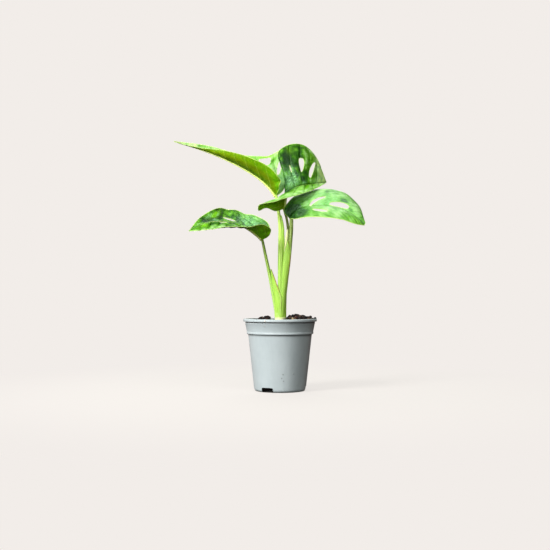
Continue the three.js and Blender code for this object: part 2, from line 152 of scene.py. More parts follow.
class Finish(Wiring):
    """A material with one Principled shader and the short ways to build what feeds it."""

    def __init__(self, name, roughness, **constants):
        self.material = bpy.data.materials.new(name)
        self.material.use_nodes = True
        super().__init__(self.material.node_tree)
        self.shader = self.tree.nodes["Principled BSDF"]
        self.place = self.node("ShaderNodeTexCoord").outputs["Object"]
        for socket, value in {"Roughness": roughness, **constants}.items():
            self.shader.inputs[socket.replace("_", " ")].default_value = value

    def attribute(self, name, output="Fac"):
        return self.node("ShaderNodeAttribute", attribute_name=name).outputs[output]

    def stretched(self, vector, *scale):
        return self.made("ShaderNodeMapping", {"Vector": vector, "Scale": scale})

    def distance(self, first, second=(0, 0, 0)):
        sockets = {0: first, 1: second}
        return self.node("ShaderNodeVectorMath", sockets, operation="DISTANCE").outputs["Value"]

    def cells(self, vector, scale, feature="DISTANCE_TO_EDGE"):
        sockets = {"Vector": vector, "Scale": scale}
        return self.node("ShaderNodeTexVoronoi", sockets, feature=feature).outputs["Distance"]

    def stripe(self, value, outer_low, inner_low, inner_high, outer_high):
        """1 between the two inner limits and 0 beyond the outer ones, all in millimetres."""
        rising = self.rise(value, outer_low * MM, inner_low * MM)
        return self.times(rising, self.rise(value, outer_high * MM, inner_high * MM))

    def ramp(self, value, stops):
        """A colour for every value, between stops that each have a position and a colour."""
        ramp_node = self.node("ShaderNodeValToRGB", {0: value})
        steps = ramp_node.color_ramp.elements
        for index, (position, colour) in enumerate(stops):
            step = steps[index] if index < 2 else steps.new(position)
            step.position = position
            step.color = colour
        return ramp_node.outputs[0]

    def bump(self, height, depth, under=None):
        """Relief of this depth in metres; under is the relief below it, if there is one."""
        sockets = {"Height": height, "Distance": depth, "Strength": 1.0}
        if under is not None:
            sockets["Normal"] = under
        return self.made("ShaderNodeBump", sockets)

    def done(self, colour, normal=None, roughness=None):
        fed = {"Base Color": colour, "Normal": normal, "Roughness": roughness}
        for socket, value in fed.items():
            if value is not None:
                self.feed(self.shader.inputs[socket], value)
        return self.material


class GrowthTree(Wiring):
    """A Geometry Nodes tree with a named input for each of its sizes."""

    def __init__(self, name, sizes):
        super().__init__(bpy.data.node_groups.new(name, "GeometryNodeTree"))
        sockets = self.tree.interface
        for way in ("INPUT", "OUTPUT"):
            sockets.new_socket("Geometry", in_out=way, socket_type="NodeSocketGeometry")
        self.identifiers = {}
        for size, start in sizes.items():
            kind = "NodeSocketInt" if isinstance(start, int) else "NodeSocketFloat"
            socket = sockets.new_socket(size, in_out="INPUT", socket_type=kind)
            socket.default_value = start
            self.identifiers[size] = socket.identifier
        socket = sockets.new_socket("Material", in_out="INPUT", socket_type="NodeSocketMaterial")
        self.identifiers["Material"] = socket.identifier
        self.given = self.node("NodeGroupInput").outputs
        self.result = self.node("NodeGroupOutput").inputs["Geometry"]

    def chance(self, low, high, seed_step, kind="FLOAT"):
        """A random value for each element, from the tree's own seed."""
        first = {"FLOAT_VECTOR": 0, "FLOAT": 2, "INT": 4}[kind]
        seed = self.plus(self.given["Seed"], seed_step)
        sockets = {first: low, first + 1: high, "Seed": seed}
        return self.node("FunctionNodeRandomValue", sockets, data_type=kind).outputs[first // 2]

    def keep(self, shape, name, value, domain="POINT"):
        """Stores a value on the growing shape, for its finish to read."""
        sockets = {"Geometry": shape, "Name": name, "Value": value}
        return self.made("GeometryNodeStoreNamedAttribute", sockets, domain=domain)

    def kept(self, name, kind="FLOAT"):
        """Reads a value that was stored on the base mesh."""
        return self.made("GeometryNodeInputNamedAttribute", {"Name": name}, data_type=kind)

    def moved(self, shape, offset):
        return self.made("GeometryNodeSetPosition", {"Geometry": shape, "Offset": offset})

    def finish_with(self, shape, smooth=True):
        """Realizes what is left of the instances and gives everything the material."""
        real = self.made("GeometryNodeRealizeInstances", {0: shape})
        even = self.made("GeometryNodeSetShadeSmooth", {0: real, 2: smooth})
        sockets = {"Geometry": even, "Material": self.given["Material"]}
        self.feed(self.result, self.made("GeometryNodeSetMaterial", sockets))

    def grow(self, name, base, material, sizes=None):
        """Runs the tree on a base object and returns the result as an object with a plain mesh."""
        modifier = base.modifiers.new(self.tree.name, "NODES")
        modifier.node_group = self.tree
        for size, value in {**(sizes or {}), "Material": material}.items():
            modifier[self.identifiers[size]] = value
        evaluated = base.evaluated_get(bpy.context.evaluated_depsgraph_get())
        mesh = bpy.data.meshes.new_from_object(evaluated)
        base.modifiers.remove(modifier)
        return show(name, mesh)


def show(name, data):
    """An object at the origin for a mesh, lamp or camera; a mesh is already in its place."""
    data.name = name
    piece = bpy.data.objects.new(name, data)
    bpy.context.scene.collection.objects.link(piece)
    return piece


def mesh_of(name, corners, faces, material=None, sharp_from=None):
    """A smooth-shaded mesh from corners in metres, with creases kept sharp from an angle up."""
    mesh = bpy.data.meshes.new(name)
    mesh.from_pydata([tuple(corner) for corner in corners], [], faces)
    mesh.shade_smooth()
    if sharp_from is not None:
        mesh.set_sharp_from_angle(angle=math.radians(sharp_from))
    if material is not None:
        mesh.materials.append(material)
    return mesh


def skinned(rings):
    """Corners and faces of a closed skin over rings; the first and last ring are one point."""
    corners = [point for ring in rings for point in ring]
    starts = np.cumsum([0] + [len(ring) for ring in rings])
    faces = []
    for low, high, below, above in zip(starts, starts[1:], rings, rings[1:]):
        sides = max(len(below), len(above))
        for side in range(sides):
            after = (side + 1) % sides
            if len(below) == 1:
                faces.append((low, high + after, high + side))
            elif len(above) == 1:
                faces.append((low + side, low + after, high))
            else:
                faces.append((low + side, low + after, high + after, high + side))
    return corners, faces


def settle(piece, slot, *solids):
    """Rides a finished piece on the plant and hides the solids it stands for; its slot is not used."""
    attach(piece, "root")
    if solids:
        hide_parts(*solids)


def body_radius(height):
    return BODY_BOTTOM_RADIUS + (BODY_TOP_RADIUS - BODY_BOTTOM_RADIUS) * height / BAND_BOTTOM


def band_radius(height):
    share = (height - BAND_BOTTOM) / (LIP_BOTTOM - BAND_BOTTOM)
    return BAND_BOTTOM_RADIUS + (BAND_TOP_RADIUS - BAND_BOTTOM_RADIUS) * share


def on_body(x, height):
    """The place in millimetres on the front of the tapered body at this x and height."""
    return Vector((x, -math.sqrt(body_radius(height) ** 2 - x ** 2), height))


def rounded(radius, height, rounding, start, end, steps):
    """Points round a corner of the pot's outline, from one angle in degrees to another."""
    turns = np.radians(np.linspace(start, end, steps))
    return [(radius + rounding * math.cos(t), height + rounding * math.sin(t)) for t in turns]


def pot_outline():
    """Radius and height along the shell: underside, outer wall, rim, and back down inside."""
    base_centre = body_radius(BASE_ROUNDING) - BASE_ROUNDING
    bead_top = BAND_BOTTOM + BEAD_HEIGHT
    ridge = GROOVE_BOTTOM - RIDGE_HEIGHT
    ridge_radius = band_radius(ridge) + 0.02
    groove_radius = band_radius(GROOVE_BOTTOM) - GROOVE_DEPTH
    return [
        (0, HOLLOW_DEPTH), (HOLLOW_RADIUS, HOLLOW_DEPTH),
        (HOLLOW_RADIUS + 0.5, HOLLOW_DEPTH - 0.15), (HOLLOW_RADIUS + 0.8, 0),
        *rounded(base_centre, BASE_ROUNDING, BASE_ROUNDING, -90, -4, 9),
        (body_radius(BAND_BOTTOM - 1), BAND_BOTTOM - 1),
        (body_radius(BAND_BOTTOM) + 0.05, BAND_BOTTOM - 0.3),
        (body_radius(BAND_BOTTOM) + 0.3, BAND_BOTTOM),
        *rounded(BAND_BOTTOM_RADIUS - 0.1, BAND_BOTTOM + EDGE_ROUNDING, EDGE_ROUNDING, -90, 0, 5),
        (band_radius(BAND_BOTTOM + 1.1) + 0.22, BAND_BOTTOM + 1.1),
        (band_radius(bead_top) + 0.08, bead_top - 0.15),
        (band_radius(bead_top) - 0.1, bead_top + 0.15),
        (band_radius(ridge) - 0.16, ridge),
        (ridge_radius, ridge + 0.2), (ridge_radius, ridge + 0.45),
        (groove_radius + 0.05, GROOVE_BOTTOM),
        (groove_radius, LIP_BOTTOM - 0.15), (groove_radius + 0.2, LIP_BOTTOM),
        *rounded(RIM_RADIUS - EDGE_ROUNDING, LIP_BOTTOM + EDGE_ROUNDING, EDGE_ROUNDING, -90, 0, 5),
        *rounded(RIM_RADIUS - RIM_ROUNDING, POT_HEIGHT - RIM_ROUNDING, RIM_ROUNDING, 0, 90, 6),
        *rounded(RIM_INNER_RADIUS, POT_HEIGHT - INNER_ROUNDING, INNER_ROUNDING, 90, 180, 5),
        (band_radius(LIP_BOTTOM) - WALL, LIP_BOTTOM - 0.6),
        (band_radius(BAND_BOTTOM + WALL) - WALL, BAND_BOTTOM + WALL),
        (body_radius(BAND_BOTTOM) - WALL, BAND_BOTTOM - 0.4),
        *rounded(base_centre, BASE_ROUNDING, BASE_ROUNDING - WALL, -8, -80, 6),
        (0, FLOOR),
    ]


def turned(outline, segments):
    """Rings in metres for an outline of radius and height turned about the pot's axis."""
    turns = np.linspace(0, 2 * math.pi, segments, endpoint=False)
    rings = []
    for radius, height in outline:
        if radius == 0:
            rings.append([(0, 0, height * MM)])
        else:
            ring = [(radius * math.cos(t), radius * math.sin(t), height) for t in turns]
            rings.append([(x * MM, y * MM, z * MM) for x, y, z in ring])
    return rings


def satin_pot_plastic():
    """Painted shade darkens the groove, the step under the band, a ring round each vent mark and
    the shell inside the slots; dirt lies near the base and dust higher up."""
    finish = Finish("satin_pot_plastic", 0.4, Specular_IOR_Level=0.45)
    place, height = finish.place, finish.axis(finish.place, "Z")
    mottle = finish.noise(place, 70, 4.0, 0.6)
    colour = finish.ramp(mottle, [(0.3, shade(178, 188, 190)), (0.7, shade(187, 196, 198))])
    flow = finish.noise(finish.stretched(place, 1, 1, 0.1), 420, 3.0)
    colour = finish.blend(finish.rise(flow, 0.45, 0.8, 0, 0.14), colour, shade(156, 168, 174))
    # Painted shade: the groove under the lip and the step under the band's bead are darkened as if in
    # shadow.
    in_groove = finish.stripe(
        height, GROOVE_BOTTOM - 0.3, GROOVE_BOTTOM + 0.1, LIP_BOTTOM - 0.1, LIP_BOTTOM + 0.2
    )
    under_band = finish.stripe(
        height, BAND_BOTTOM - 2.1, BAND_BOTTOM - 0.1, BAND_BOTTOM, BAND_BOTTOM + 0.3
    )
    grime_and_painted_shade = finish.maths("MAXIMUM", in_groove, finish.times(under_band, 0.9))
    colour = finish.blend(finish.times(grime_and_painted_shade, 0.75), colour, shade(74, 74, 72))
    dust = finish.rise(finish.noise(place, 900, 3.0, 0.7), 0.62, 0.74, 0, 0.55)
    dusty = finish.times(dust, finish.rise(height, 40 * MM, 60 * MM, 0.12, 1))
    colour = finish.blend(dusty, colour, shade(92, 80, 70))
    # Painted shade: a darker ring round each vent pimple stands for the small shadow it casts.
    for x, vent_height in PIMPLES:
        away = finish.distance(place, on_body(x, vent_height) * MM)
        ring = finish.rise(away, 0.8 * MM, 0.35 * MM, 0, 0.42)
        colour = finish.blend(ring, colour, shade(70, 74, 76))
    # Painted shade: the shell inside the drainage slots is painted near black, as if in deep shadow.
    reach = finish.distance(finish.vector_maths("MULTIPLY", place, (1, 1, 0)))
    inside = finish.rise(reach, (BODY_BOTTOM_RADIUS - 0.7) * MM, (BODY_BOTTOM_RADIUS - 1.3) * MM)
    low = finish.rise(height, (SLOT_HEIGHT + 1.4) * MM, (SLOT_HEIGHT + 0.6) * MM)
    colour = finish.blend(finish.times(inside, low), colour, shade(24, 24, 25))
    splash = finish.rise(finish.noise(place, 260, 5.0, 0.65), 0.6, 0.78, 0, 0.35)
    splash = finish.times(splash, finish.rise(height, 14 * MM, 1 * MM))
    colour = finish.blend(splash, colour, shade(120, 108, 96))
    waves = finish.bump(finish.noise(place, 45, 2.0), 0.25 * MM)
    peel = finish.bump(finish.noise(place, 1500, 2.0), 0.018 * MM, waves)
    sheen = finish.rise(finish.noise(place, 160, 3.0), 0.3, 0.7, 0.36, 0.5)
    return finish.done(colour, peel, sheen)


def slot_cutting():
    """Cuts the drainage slots: a prism with rounded corners, once for each slot, taken away."""
    tree = GrowthTree("drainage_slots", {
        "Slot Width": 0.01, "Slot Height": 0.004, "Corner": 0.001, "Inner Radius": 0.016,
        "Outer Radius": 0.026, "First Turn": 0.0, "Slots": 3,
    })
    given = tree.given
    sockets = {"Width": given["Slot Width"], "Height": tree.times(given["Slot Height"], 2.0)}
    opening = tree.made("GeometryNodeCurvePrimitiveQuadrilateral", sockets)
    sockets = {"Curve": opening, "Count": 5, "Radius": given["Corner"]}
    opening = tree.made("GeometryNodeFilletCurve", sockets, mode="POLY")
    inner, outer = (tree.times(given[radius], -1.0) for radius in ("Inner Radius", "Outer Radius"))
    sockets = {"Start": tree.vector(y=inner), "End": tree.vector(y=outer)}
    way = tree.made("GeometryNodeCurvePrimitiveLine", sockets)
    sockets = {"Curve": way, "Profile Curve": opening, "Fill Caps": True}
    prism = tree.made("GeometryNodeCurveToMesh", sockets)
    centres = tree.made("GeometryNodeMeshLine", {"Count": given["Slots"], "Offset": (0, 0, 0)})
    share = tree.maths("DIVIDE", tree.made("GeometryNodeInputIndex"), given["Slots"])
    turn = tree.plus(tree.times(share, 2 * math.pi), given["First Turn"])
    facing = tree.made("FunctionNodeEulerToRotation", {0: tree.vector(z=turn)})
    sockets = {"Points": centres, "Instance": prism, "Rotation": facing}
    prisms = tree.made("GeometryNodeInstanceOnPoints", sockets)
    sockets = {
        "Mesh 1": given["Geometry"], "Mesh 2": tree.made("GeometryNodeRealizeInstances", {0: prisms}),
    }
    cut = tree.made("GeometryNodeMeshBoolean", sockets, operation="DIFFERENCE", solver="EXACT")
    tree.finish_with(cut)
    return tree


pot_plastic = satin_pot_plastic()
shell_rings = turned(pot_outline(), POT_SEGMENTS)
whole_shell = show("whole_shell", mesh_of("whole_shell", *skinned(shell_rings)))
pot_shell = slot_cutting().grow("pot_shell", whole_shell, pot_plastic, {
    "Slot Width": SLOT_WIDTH * MM, "Slot Height": SLOT_HEIGHT * MM, "Corner": SLOT_CORNER * MM,
    "Inner Radius": SLOT_INNER_RADIUS * MM, "Outer Radius": SLOT_OUTER_RADIUS * MM,
    "First Turn": FIRST_SLOT_FROM_FRONT, "Slots": SLOT_COUNT,
})
bpy.data.objects.remove(whole_shell)
pot_shell.data.set_sharp_from_angle(angle=math.radians(38))
settle(pot_shell, "pot_plastic", "pot")


# Marks of the mould: four low pimples on the front of the body where vents in the mould let
# air out, and the stub of the gate in the middle of the underside. Same plastic as the pot.
PIMPLE_RADIUS = 0.5
PIMPLE_HEIGHT_SHARE = 0.7
GATE_RADIUS = 1.1
GATE_HEIGHT_SHARE = 0.3


def stud_growth():
    """Sets a low dome on every point of the base mesh, facing outwards as the point says."""
    tree = GrowthTree("mould_pimples", {"Radius": 0.0005, "Height Share": 0.5})
    sockets = {"Segments": 14, "Rings": 8, "Radius": tree.given["Radius"]}
    dome = tree.made("GeometryNodeMeshUVSphere", sockets)
    sockets = {"Geometry": dome, "Scale": tree.vector(1.0, 1.0, tree.given["Height Share"])}
    low_dome = tree.made("GeometryNodeTransform", sockets)
    outward = tree.kept("outward", "FLOAT_VECTOR")
    facing = tree.made("FunctionNodeAlignRotationToVector", {"Vector": outward}, axis="Z")
    sockets = {"Points": tree.given["Geometry"], "Instance": low_dome, "Rotation": facing}
    tree.finish_with(tree.made("GeometryNodeInstanceOnPoints", sockets))
    return tree


def pimple_spots():
    """The place of every vent mark in metres and the direction that it faces."""
    places = [on_body(x, height) for x, height in PIMPLES]
    return [(place * MM, Vector((place.x, place.y, 0)).normalized()) for place in places]


def set_studs(name, spots, radius, share):
    """Domes of this radius at the spots, their height a share of the radius."""
    places = bpy.data.meshes.new("stud_places")
    places.from_pydata([spot for spot, _ in spots], [], [])
    directions = places.attributes.new("outward", "FLOAT_VECTOR", "POINT")
    for index, (_, outward) in enumerate(spots):
        directions.data[index].vector = outward
    base = show("stud_places", places)
    studs = stud_growth().grow(name, base, pot_plastic, {"Radius": radius * MM, "Height Share": share})
    bpy.data.objects.remove(base)
    settle(studs, "pot_plastic")


gate_spot = (Vector((0, 0, HOLLOW_DEPTH * MM)), Vector((0, 0, -1)))
set_studs("mould_pimples", pimple_spots(), PIMPLE_RADIUS, PIMPLE_HEIGHT_SHARE)
set_studs("gate_stub", [gate_spot], GATE_RADIUS, GATE_HEIGHT_SHARE)


# Potting mix: damp peat that fills the pot to just under the lip, heaped on the right of the
# stem and a little on the left. The bed is one body; crumbs, fibres and bits of perlite are
# strewn over its open top. A heap has its place, its spread and its height.
MIX_LEVEL = 55
MIX_EDGE_LEVEL = 53.8
HEAPS = [(13, 0, 11, 4.6), (23, -4, 6, 1.2), (-13, 0, 6, 3)]
MIX_CLEARANCE = 0.45
MIX_GAP = 0.4
MIX_SIDE_LEVELS = (12, 24, 36, 45.5)
MIX_SEGMENTS = 208
MIX_RINGS = 76
WASHED_DEPTH = 4.5
WASHED_HEIGHT = 6
WASHED_TURN = 0.34
FULL_TURN = 6.28


def mix_level(x, y):
    """Height in millimetres of the smoothed top of the mix, as the solid under it has it."""
    ripple = 0.35 * math.sin(0.55 * x + 1.1) * math.cos(0.47 * y)
    ripple += 0.25 * math.sin(0.9 * y - 0.4 * x)
    level = MIX_LEVEL + ripple
    for centre_x, centre_y, spread, height in HEAPS:
        away = (x - centre_x) ** 2 + (y - centre_y) ** 2
        level += height * math.exp(-away / spread ** 2)
    return level


def lumpy_level(x, y):
    """The same top with the lumps and pits of loose peat."""
    spot = Vector((x, y, 0))
    lumps = noise.noise(spot * 0.34) * 1.0 + noise.noise(spot * 0.9 + Vector((7, 3, 5))) * 0.7
    crumbs = noise.noise(spot * 2.3 + Vector((1, 9, 2))) * 0.3
    return mix_level(x, y) + lumps + crumbs


def washed_out(turn, height):
    """How far in millimetres water has carried the mix back from the drainage slots."""
    depth = 0.0
    for slot in range(SLOT_COUNT):
        middle = FIRST_SLOT_FROM_FRONT - math.pi / 2 + 2 * math.pi * slot / SLOT_COUNT
        away = math.remainder(turn - middle, 2 * math.pi) / WASHED_TURN
        depth += WASHED_DEPTH * math.exp(-away ** 4) * math.exp(-((height - 1) / WASHED_HEIGHT) ** 2)
    return depth


def mix_rings():
    """The bed from its underside up its loose sides and over its lumpy top to the middle."""
    inner = band_radius(MIX_EDGE_LEVEL) - WALL - MIX_CLEARANCE
    bottom = FLOOR + MIX_GAP
    turns = np.linspace(0, 2 * math.pi, MIX_SEGMENTS, endpoint=False)
    sides = [(body_radius(FLOOR) - WALL - 1.4, bottom), (body_radius(4) - WALL - 0.5, 4)]
    sides += [(body_radius(height) - WALL - MIX_GAP, height) for height in MIX_SIDE_LEVELS]
    sides += [(band_radius(47.6) - WALL - MIX_GAP, 47.8), (inner, MIX_EDGE_LEVEL - 0.6)]
    rings = [[(0, 0, bottom * MM)]]
    for radius, height in sides:
        ring = []
        for turn in turns:
            spot = Vector((math.cos(turn) * 8, math.sin(turn) * 8, height * 0.7))
            loose = radius - 0.35 - 0.35 * noise.noise(spot) - washed_out(turn, height)
            ring.append((loose * math.cos(turn) * MM, loose * math.sin(turn) * MM, height * MM))
        rings.append(ring)
    for step in range(MIX_RINGS):
        radius = inner * (1 - step / MIX_RINGS)
        lumpiness = 0.35 + 0.65 * min(1.0, (inner - radius) / 2.5)
        ring = []
        for turn in turns:
            x, y = radius * math.cos(turn), radius * math.sin(turn)
            level = MIX_EDGE_LEVEL + (lumpy_level(x, y) - MIX_EDGE_LEVEL) * lumpiness
            ring.append((x * MM, y * MM, level * MM))
        rings.append(ring)
    rings.append([(0, 0, mix_level(0, 0) * MM)])
    return rings


def note(mesh, kind, values):
    """Stores a number for every corner of a mesh, for its finish or a growth tree to read."""
    attribute = mesh.attributes.new(kind, "FLOAT", "POINT")
    attribute.data.foreach_set("value", np.asarray(values, np.float32))


def damp_peat():
    finish = Finish("damp_peat", 0.85, Specular_IOR_Level=0.35)
    grains = finish.noise(finish.place, 520, 6.0, 0.7)
    colour = finish.ramp(grains, [
        (0.32, shade(12, 8, 7)), (0.5, shade(30, 20, 15)), (0.64, shade(54, 35, 25)),
        (0.8, shade(96, 66, 46)),
    ])
    coarse = finish.bump(finish.noise(finish.place, 700, 5.0, 0.7), 0.5 * MM)
    return finish.done(colour, finish.bump(finish.cells(finish.place, 1100), 0.2 * MM, coarse))


def peat_crumb():
    """Crumbs differ from piece to piece: near-black peat, brown bark dust, a few tan bits."""
    finish = Finish("peat_crumb", 0.82, Specular_IOR_Level=0.4)
    tint = finish.attribute("tint")
    colour = finish.ramp(tint, [
        (0.0, shade(10, 7, 6)), (0.55, shade(26, 17, 13)), (0.74, shade(60, 33, 24)),
        (0.9, shade(106, 66, 46)), (0.955, shade(124, 88, 62)), (0.97, shade(192, 166, 128)),
    ])
    fine = finish.noise(finish.place, 1600, 4.0, 0.7)
    colour = finish.blend(finish.rise(fine, 0.35, 0.7, 0.55, 0), colour, shade(10, 7, 6))
    return finish.done(colour, finish.bump(fine, 0.25 * MM))


def plant_fibre():
    finish = Finish("plant_fibre", 0.75)
    tint = finish.attribute("tint")
    colour = finish.ramp(tint, [
        (0.0, shade(60, 36, 24)), (0.45, shade(112, 72, 50)), (0.7, shade(150, 108, 76)),
        (0.85, shade(70, 40, 30)), (1.0, shade(196, 172, 134)),
    ])
    return finish.done(colour, finish.bump(finish.noise(finish.place, 2600), 0.08 * MM))


def perlite():
    finish = Finish("perlite", 0.7)
    grain = finish.noise(finish.place, 2400, 3.0)
    colour = finish.ramp(grain, [(0.3, shade(205, 196, 182)), (0.7, shade(240, 236, 226))])
    return finish.done(colour, finish.bump(grain, 0.2 * MM))


def strew(tree, shapes, turn, size, lift, smooth):
    """Strews the shapes over the open top of the mix, each one picked and tinted by chance."""
    density = tree.times(tree.given["Per Square Metre"], tree.kept("open_top"))
    sockets = {"Mesh": tree.given["Geometry"], "Density": density, "Seed": tree.given["Seed"]}
    spots = tree.made("GeometryNodeDistributePointsOnFaces", sockets)
    choice = tree.node("GeometryNodeJoinGeometry")
    for shape in shapes:
        tree.feed(choice.inputs[0], tree.made("GeometryNodeGeometryToInstance", {0: shape}))
    sockets = {
        "Points": tree.moved(spots, tree.vector(z=lift)), "Instance": choice.outputs[0],
        "Pick Instance": True, "Instance Index": tree.chance(0, len(shapes) - 1, 3, "INT"),
        "Rotation": tree.made("FunctionNodeEulerToRotation", {0: turn}), "Scale": size,
    }
    pieces = tree.made("GeometryNodeInstanceOnPoints", sockets)
    tree.finish_with(tree.keep(pieces, "tint", tree.chance(0.0, 1.0, 4), "INSTANCE"), smooth)
    return tree


def crumb_scatter(name, rounds):
    """Four shapes of rough lump, each a knobbly ball with flat facets; small ones are commonest."""
    tree = GrowthTree(name, {
        "Per Square Metre": 1e5, "Smallest": 0.0003, "Largest": 0.001, "Sink": 0.0, "Seed": 1,
    })
    where = tree.made("GeometryNodeInputPosition")
    lumps = []
    for variant, flatness in enumerate((0.9, 0.6, 0.75, 0.45)):
        ball = tree.made("GeometryNodeMeshIcoSphere", {"Radius": 1.0, "Subdivisions": rounds})
        shifted = tree.vector_maths("ADD", where, (variant * 7.3, variant * 3.1, 2.0))
        knobs = tree.noise(shifted, 1.1, 2.0, 0.6, "Color")
        push = tree.scaled(tree.vector_maths("SUBTRACT", knobs, (0.5, 0.5, 0.5)), 1.5)
        sockets = {"Geometry": tree.moved(ball, push), "Scale": (1.0, 0.8, flatness)}
        lumps.append(tree.made("GeometryNodeTransform", sockets))
    turn = tree.chance((0, 0, 0), (FULL_TURN, FULL_TURN, FULL_TURN), 1, "FLOAT_VECTOR")
    share = tree.maths("POWER", tree.chance(0.0, 1.0, 2), 2.4)
    sockets = {0: share, 3: tree.given["Smallest"], 4: tree.given["Largest"]}
    size = tree.made("ShaderNodeMapRange", sockets)
    return strew(tree, lumps, turn, size, tree.times(size, tree.given["Sink"]), smooth=False)


def fibre_scatter():
    """Short bent fibres: three bends of a thin strand that narrows to its ends."""
    tree = GrowthTree("fibre_scatter", {
        "Per Square Metre": 1e5, "Shortest": 0.002, "Longest": 0.006, "Girth": 0.0001, "Seed": 1,
    })
    along = tree.made("GeometryNodeSplineParameter")
    bulge = tree.times(along, tree.minus(1.0, along))
    girth = tree.plus(tree.times(bulge, 0.09), 0.008)
    strands = []
    for bend, rise in ((0.35, 0.1), (-0.2, 0.28), (0.12, 0.4)):
        points = {"Start": (-0.5, 0, -0.04), "Middle": (0, bend, rise), "End": (0.5, 0, 0)}
        way = tree.made("GeometryNodeCurveQuadraticBezier", {"Resolution": 8, **points})
        section = tree.made("GeometryNodeCurvePrimitiveCircle", {"Resolution": 4, "Radius": 1.0})
        sockets = {0: way, 1: section, "Scale": girth, "Fill Caps": True}
        strands.append(tree.made("GeometryNodeCurveToMesh", sockets))
    turn = tree.chance((-0.5, -0.5, 0), (0.5, 0.5, FULL_TURN), 1, "FLOAT_VECTOR")
    length = tree.chance(tree.given["Shortest"], tree.given["Longest"], 2)
    return strew(tree, strands, turn, length, tree.times(tree.given["Girth"], 4.0), smooth=True)


mix_bed = show("mix_bed", mesh_of("mix_bed", *skinned(mix_rings()), damp_peat(), 60))
top_from = (MIX_EDGE_LEVEL - 0.9) * MM
note(mix_bed.data, "open_top", [corner.co.z > top_from for corner in mix_bed.data.vertices])
crumb_finish, perlite_finish = peat_crumb(), perlite()
coarse_crumbs = crumb_scatter("coarse_crumbs", 2).grow("coarse_crumbs", mix_bed, crumb_finish, {
    "Per Square Metre": 2.2e5, "Smallest": 0.6 * MM, "Largest": 1.9 * MM, "Sink": 0.35, "Seed": 11,
})
fine_crumbs = crumb_scatter("fine_crumbs", 1).grow("fine_crumbs", mix_bed, crumb_finish, {
    "Per Square Metre": 1.5e6, "Smallest": 0.22 * MM, "Largest": 0.75 * MM, "Sink": 0.3, "Seed": 23,
})
perlite_bits = crumb_scatter("perlite_bits", 2).grow("perlite_bits", mix_bed, perlite_finish, {
    "Per Square Metre": 9e3, "Smallest": 0.35 * MM, "Largest": 0.9 * MM, "Sink": 0.7, "Seed": 5,
})
mix_fibres = fibre_scatter().grow("mix_fibres", mix_bed, plant_fibre(), {
    "Per Square Metre": 1.6e5, "Shortest": 1.8 * MM, "Longest": 5.5 * MM, "Girth": 0.1 * MM, "Seed": 37,
})
settle(mix_bed, "compost", "compost")
for loose in (coarse_crumbs, fine_crumbs, perlite_bits, mix_fibres):
    settle(loose, "compost")


# Bark chips and clods: split bits of composted bark and lumps of coarse peat pressed a little
# into the mix. Each is an angular fragment with broken flat sides and fibres along it. Its
# place, its length, width and height, and its turn in degrees are given.
CHIPS = [
    (8, -3, (5, 3.6, 3.6), 15), (13.5, -6.2, (4.6, 3.2, 2.8), 70), (14, 1.4, (5, 3.4, 3.2), -30),
    (19.6, -4, (5, 3.4, 3.2), 10), (24.4, -1, (3, 2.6, 4), 50), (19.5, 5.4, (4.5, 3, 2.6), 120),
    (-10, -2, (4.6, 3.4, 4), -15), (-15.2, -0.5, (4.8, 3.6, 3.8), 30),
]
CLODS = [
    (10.6, -1.2, (3.6, 3, 3), 40), (16.6, -3.6, (3.4, 3, 3.2), 85), (22.2, -3.2, (3.2, 2.6, 3), -20),
    (26.2, -2.6, (2.8, 2.4, 2.6), 15), (26.3, 2.2, (2.8, 2.6, 2.4), 60), (6.4, -5.6, (2.4, 2.2, 2), 10),
    (-12.6, -2.4, (3.2, 2.8, 3.8), 75), (-17.6, -1.6, (3, 2.6, 2.4), 20), (-8, -2.6, (2.6, 2.2, 2.2), 50),
    (-6.6, 4.8, (3.4, 2.6, 2.4), 0), (2, 13, (4, 3, 2.6), 35), (-12, 11, (3.6, 3, 2.6), 80),
    (9, 16, (3.4, 2.8, 2.4), 10), (-2, -17, (3, 2.4, 2), 65), (17, -14, (3.2, 2.6, 2.4), 25),
]
CHIP_TILT = 0.25
BROKEN_SIDES = 11
EDGE_SHARPNESS = 16


def ball_mesh(name, rounds, material):
    """A ball of radius 1, to be shaped into a chip or a fleck."""
    ball = bmesh.new()
    bmesh.ops.create_icosphere(ball, subdivisions=rounds, radius=1.0)
    mesh = bpy.data.meshes.new(name)
    ball.to_mesh(mesh)
    ball.free()
    mesh.shade_smooth()
    mesh.materials.append(material)
    return mesh


def chip_mesh(name, number, x, y, size, turn, material):
    """A ball cut back to random flat sides, with ridges along the grain, set in its place."""
    mesh = ball_mesh(name, 5, material)
    chance = np.random.default_rng(100 + number)
    sides = chance.normal(size=(BROKEN_SIDES, 3))
    sides /= np.linalg.norm(sides, axis=1)[:, None]
    reach = chance.uniform(0.62, 0.98, BROKEN_SIDES)
    towards = np.array([v.co for v in mesh.vertices])
    cut = np.clip(towards @ sides.T / reach, 0, None)
    radius = 1.12 / (1e-9 + (cut ** EDGE_SHARPNESS).sum(axis=1)) ** (1 / EDGE_SHARPNESS)
    local = towards * np.clip(radius, 0, 1.15)[:, None]
    grain = local * (0.55, 3.2, 3.2) + number * 5
    fine_grain = local * (2.5, 9, 9) + number
    for index, (broad, fine) in enumerate(zip(grain, fine_grain)):
        local[index] *= 1 + noise.noise(Vector(broad)) * 0.2 + noise.noise(Vector(fine)) * 0.1
    pose = Matrix.Rotation(math.radians(turn), 3, "Z") @ Matrix.Rotation(CHIP_TILT, 3, "Y")
    centre = (x, y, mix_level(x, y) + size[2] / 4)
    place = (local * size / 2) @ np.array(pose).T + centre
    mesh.vertices.foreach_set("co", (place * MM).astype(np.float32).ravel())
    along = mesh.attributes.new("grain", "FLOAT_VECTOR", "POINT")
    along.data.foreach_set("vector", grain.astype(np.float32).ravel())
    mesh.set_sharp_from_angle(angle=math.radians(32))
    return mesh


